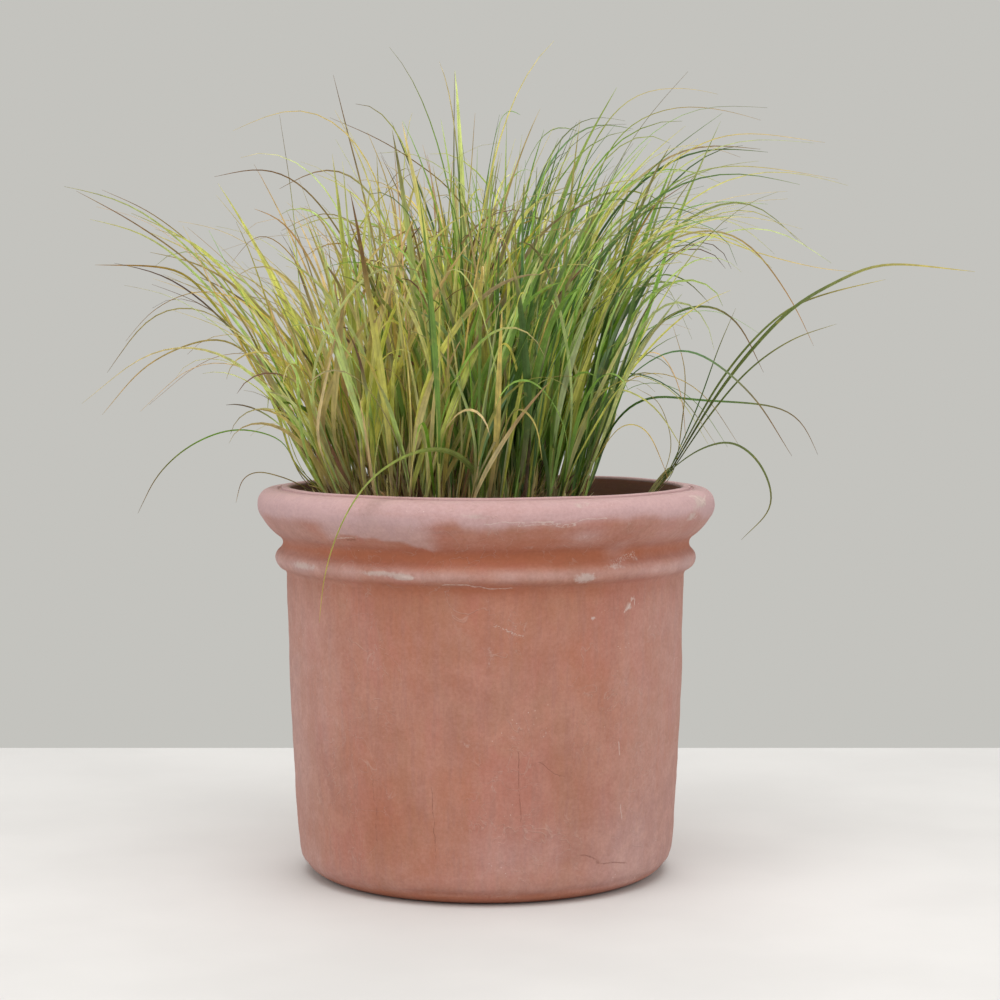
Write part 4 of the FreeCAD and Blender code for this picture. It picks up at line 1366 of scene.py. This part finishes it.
def strand(points, radius):
    """Four-sided tube along points: vertices and faces."""
    points = np.asarray(points)
    tangent = np.gradient(points, axis=0)
    tangent /= np.linalg.norm(tangent, axis=1, keepdims=True) + 1e-12
    up = np.where(np.abs(tangent[:, 2:3]) > 0.9, [[1.0, 0, 0]], [[0, 0, 1.0]])
    u = np.cross(tangent, up)
    u /= np.linalg.norm(u, axis=1, keepdims=True) + 1e-12
    v = np.cross(tangent, u)
    ring = [points + radius * (math.cos(t) * u + math.sin(t) * v) for t in (0, 1.571, 3.142, 4.712)]
    verts = np.stack(ring, 1).reshape(-1, 3)
    faces = []
    for i in range(len(points) - 1):
        for k in range(4):
            m = (k + 1) % 4
            faces.append((i * 4 + k, i * 4 + m, i * 4 + 4 + m, i * 4 + 4 + k))
    last = (len(points) - 1) * 4
    faces.append((3, 2, 1, 0))
    faces.append((last, last + 1, last + 2, last + 3))
    return verts, np.array(faces)


def compost_shape():
    """Vertices and faces of the compost: an uneven top, a pitted side that follows the pot, a flat foot."""
    rows = []
    top, foot = SOIL_Z - 0.0004, 0.0795
    for r in np.linspace(0.003, 0.2365, 78):
        rows.append((r, top, 1.0))
    for r, z in ((0.2380, top - 0.0012), (0.2388, top - 0.0040)):
        rows.append((r, z, 0.3))
    for z in np.linspace(top - 0.010, 0.082, 54):
        rows.append((float(inside_radius(z)) - 0.0013 - (0.0012 if z > 0.43 else 0.0), z, 0.0))
    for r in np.linspace(0.220, 0.003, 20):
        rows.append((r, foot, 0.0))
    outline = np.array(rows)
    columns = 400
    a = np.arange(columns) * 2 * math.pi / columns
    r, z, lid = (np.repeat(outline[:, k], columns) for k in range(3))
    turn = np.tile(a, len(outline))
    flat = np.stack([r * np.cos(turn), r * np.sin(turn), z], 1)
    heap = 0.0042 * fbm(flat / 0.060, 3, 91) + 0.0030 * fbm(flat / 0.014, 3, 92)
    heap += 0.0015 * fbm(flat / 0.005, 2, 93)
    edge = smooth(r, 0.236, 0.205)
    pitted = 0.0022 * np.clip(fbm(flat / 0.012, 3, 94) + 0.15, 0, 1.2)
    r2 = r - np.where(lid < 0.5, pitted, 0) * (z > foot + 0.0001)
    z2 = z + lid * (np.clip(heap, -0.006, 0.008) * (0.35 + 0.65 * edge) - 0.0035 * (1 - edge))
    for (cx, cy), reach, rise in ((CLUMP, CROWN_R + 0.002, 0.0055), (SIDE_FOOT, 0.014, 0.003)):
        gap = np.hypot(flat[:, 0] - cx, flat[:, 1] - cy) - reach
        z2 = z2 + lid * rise * np.exp(-(gap / 0.010) ** 2) * (0.8 + 0.5 * fbm(flat / 0.02, 2, 95))
    verts = np.stack([r2 * np.cos(turn), r2 * np.sin(turn), z2], 1)
    centre_top, centre_low = len(verts), len(verts) + 1
    verts = np.vstack([verts, [[0, 0, top + 0.001]], [[0, 0, foot]]])
    faces = [tuple(f[::-1]) for f in revolve_faces(len(outline), columns, False)]
    last = (len(outline) - 1) * columns
    for j in range(columns):
        k = (j + 1) % columns
        faces.append((centre_top, j, k))
        faces.append((centre_low, last + k, last + j))
    return verts, faces


def compost_crumbs():
    """Loose crumbs on the compost: vertices, faces and a random number for each vertex's crumb."""
    shapes, lump_faces = lump_shapes(12, 1, 70, 0.45, 0.7)
    count = 1500
    rr = 0.230 * np.sqrt(rng.uniform(0, 1, count))
    aa = rng.uniform(0, 6.283, count)
    size = rng.uniform(0.0014, 0.0046, count) * rng.uniform(0.6, 1.0, count)
    height = SOIL_Z + 0.0008 + rng.normal(0, 0.0016, count)
    spots = np.stack([rr * np.cos(aa), rr * np.sin(aa), height], 1)
    return scatter(spots, size, shapes, lump_faces)


OUTER_ROOTS = 230


def outer_root(k):
    """A root that has reached the compost's outside: it runs down, and every fourth circles near the foot."""
    steps = rng.integers(26, 70)
    circling = k % 4 == 0
    turn = rng.normal(0, 0.004) + (0.020 if circling else 0) * rng.choice([-1, 1])
    angle = rng.uniform(0, 6.283) + np.cumsum(turn + np.cumsum(rng.normal(0, 0.0035, steps)) * 0.45)
    fall = rng.uniform(0.0002, 0.0012) if circling else rng.uniform(0.0015, 0.0052)
    first = rng.uniform(0.09, 0.20) if circling else rng.uniform(0.14, 0.445)
    height = np.clip(first - np.cumsum(fall + rng.normal(0, 0.0009, steps)), 0.083, 0.450)
    dips = value_noise(np.stack([angle * 9, height * 90, angle * 0 + k], 1), 5)
    depth = 0.0019 + 0.0012 * np.clip(dips, -0.4, 1)
    radius = inside_radius(height) - depth - np.where(height > 0.43, 0.0014, 0)
    path = np.stack([radius * np.cos(angle), radius * np.sin(angle), height], 1)
    return strand(path, rng.uniform(0.00035, 0.00085))


def make_compost():
    """Compost with crumbs on top and roots on its outside, as one mesh."""
    verts, faces = compost_shape()
    crumbs, crumb_faces, own = compost_crumbs()
    faces += [tuple(t) for t in (crumb_faces + len(verts)).tolist()]
    tone = [np.zeros(len(verts)), own]
    rooty = [np.zeros(len(verts) + len(crumbs))]
    verts = np.vstack([verts, crumbs])
    for k in range(OUTER_ROOTS):
        tube, sides = outer_root(k)
        faces += [tuple(q) for q in (sides + len(verts)).tolist()]
        verts = np.vstack([verts, tube])
        tone.append(np.zeros(len(tube)))
        rooty.append(np.full(len(tube), rng.uniform(0.45, 1.0)))
    soil = mesh_object("compost_body", verts, faces, "planting")
    tone, rooty = np.concatenate(tone), np.concatenate(rooty)
    paint(soil, "own", np.stack([tone, rooty, tone * 0], 1))
    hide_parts("compost")
    wear(soil, compost_material())


def make_roots():
    look = root_material()
    sizes = (("left", 0.003, 0.0022), ("right", 0.003, 0.0022), ("side", 0.0015, 0.001))
    for k, (side, voxel, amount) in enumerate(sizes):
        node = "root_ball_" + side
        obj = from_node(node, "root_mass_" + side, voxel, amount, 0.014, 60 + k)
        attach(obj, "planting")
        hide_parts(node)
        wear(obj, look)


def stubble_tint(n, steps):
    bodies = ((STRAW * 0.6, 0.4), (TAN * 0.6, 0.25), (RED_BROWN * 0.6, 0.35))
    tips, feet = ((PURPLE * 0.5, 1.0),), ((RED_BROWN * 0.35, 1.0),)
    return leaf_tint(steps, pick(bodies, n), pick(tips, n), pick(feet, n),
                     np.full(n, 0.9), np.full(n, 0.7), rng.uniform(0, 0.6, n))


def stubble(side):
    """Dry bases of last year's leaves on a crown; side is -1 left plant, 1 right plant, 0 side shoot."""
    n = 420 if side else 26
    if side:
        rho = FEET_R * np.sqrt(rng.uniform(0, 1, n))
        phi = rng.uniform(-1.55, 1.55, n) + (math.pi if side < 0 else 0)
        foot = clump_point(rho, phi, crown_height(rho) - 0.005)
        tilt = np.abs(np.arctan(rho * 3.0) + rng.normal(0, 0.22, n))
        size = rng.uniform(0.022, 0.075, n)
    else:
        rho = 0.011 * np.sqrt(rng.uniform(0, 1, n))
        phi = rng.uniform(-3.14, 3.14, n)
        x, y = SIDE_FOOT[0] + rho * np.cos(phi), SIDE_FOOT[1] + rho * np.sin(phi)
        foot = np.stack([x, y, rho * 0 + 0.463], 1)
        tilt = rng.uniform(0.05, 0.7, n)
        size = rng.uniform(0.012, 0.035, n)
    face = phi + rng.normal(0, 0.3, n)
    path = grow(foot, tilt, face, size, rng.normal(0.1, 0.3, n), tilt * 0 + 1.5, tilt * 0, 6)
    path = path[clear_of_pot(path[:, 2:])]
    m = len(path)
    return batch(path, rng.uniform(0.0022, 0.0042, m), rng.uniform(0, 6.28, m), rng.normal(0, 0.5, m),
                 stubble_tint, fold=0.3, base=1.0, full=0.1, taper=5)


def make_crowns():
    dome_look = thatch_material()
    stub_look = leaf_material("stubble", 0.7)
    for k, (node, side) in enumerate((("crown_left", -1), ("crown_right", 1), ("crown_side", 0))):
        voxel, amount = (0.0022, 0.0022) if side else (0.001, 0.0012)
        dome = from_node(node, node + "_mat", voxel, amount, 0.006, 80 + k)
        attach(dome, "planting")
        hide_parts(node)
        wear(dome, dome_look)
        leaf_piece(node + "_stubble", [stubble(side)], stub_look, "crown")


def make_side_shoot():
    """Three short sheaths that lean towards the rim."""
    foot = np.array([[0.196, -0.056, 0.4705], [0.1985, -0.0585, 0.4700], [0.1935, -0.0540, 0.4700]])
    tips = np.array([[0.2440, -0.0645, 0.5400], [0.2425, -0.0720, 0.5330], [0.2430, -0.0580, 0.5360]])
    t = np.linspace(0, 1, 9)[None, :, None]
    path = foot[:, None] * (1 - t) + tips[:, None] * t
    path[..., 2] += 0.006 * np.sin(t[..., 0] * math.pi)

    def colour(n, steps):
        body, tip, low = ((DEEP, 0.5), (OLIVE, 0.5)), ((GREEN, 1.0),), ((RED_BROWN * 0.5, 1.0),)
        return leaf_tint(steps, pick(body, n), pick(tip, n), pick(low, n),
                         np.full(n, 1.0), np.full(n, 0.7), np.full(n, 0.5))
    width, twist, twist_end = np.array([[0.0075, 0.0055, 0.0050], [0.3, 1.2, 2.1], [0.3, 0.2, -0.4]])
    shoot = batch(path, width, twist, twist_end, colour, fold=0.32, base=1.0, full=0.1, taper=9)
    leaf_piece("side_shoot_sheaths", [shoot], sheath_look, "sheath_green", "side_shoot")


# ------------------------------------------------------------------ camera, light, floor
def make_studio():
    scene = bpy.context.scene
    scene.view_settings.view_transform = "Standard"
    camera = bpy.data.cameras.new("camera")
    camera.lens, camera.sensor_width = 87.3, 36.0
    camera.clip_end = 60
    eye = bpy.data.objects.new("camera", camera)
    eye.location = (0.019, -3.2, 0.703)
    looking_down = 3.80
    eye.rotation_euler = (math.radians(90 - looking_down), 0, 0)
    scene.collection.objects.link(eye)
    scene.camera = eye

    world = bpy.data.worlds.new("studio")
    world.use_nodes = True
    world.node_tree.nodes["Background"].inputs[0].default_value = (0.55, 0.545, 0.515, 1)
    world.node_tree.nodes["Background"].inputs[1].default_value = 1.0
    scene.world = world

    for name, place, size, power in (
        ("sky", (0.0, -1.3, 3.6), 3.4, 92),
        ("left", (-3.0, -2.4, 1.9), 2.4, 34),
        ("right", (3.1, -2.2, 1.9), 2.4, 34),
        ("back", (0.3, 2.8, 3.0), 2.6, 42),
    ):
        light = bpy.data.lights.new(name, "AREA")
        light.size, light.energy, light.color = size, power, (1.0, 0.99, 0.97)
        lamp = bpy.data.objects.new(name, light)
        lamp.location = place
        aim = Vector((0, 0, 0.45)) - Vector(place)
        lamp.rotation_euler = aim.to_track_quat("-Z", "Y").to_euler()
        scene.collection.objects.link(lamp)

    mesh = bpy.data.meshes.new("floor")
    corners = [(-3.2, -1.7, 0), (3.2, -1.7, 0), (3.2, 0.94, 0), (-3.2, 0.94, 0)]
    mesh.from_pydata(corners, [], [(0, 1, 2, 3)])
    floor = bpy.data.objects.new("floor", mesh)
    scene.collection.objects.link(floor)
    g = Graph("floor", roughness=0.9, specular=0.2)
    tone = g.noise(3.0, 4, 0.5)
    wear(floor, g.finish(g.mix(g.window(tone, 0.3, 0.7), (0.650, 0.642, 0.642), (0.690, 0.682, 0.682))))


make_studio()
make_pot()
make_planting()
make_side_shoot()
make_crocks()
make_pebbles()
make_fleece()
make_compost()
make_roots()
make_crowns()
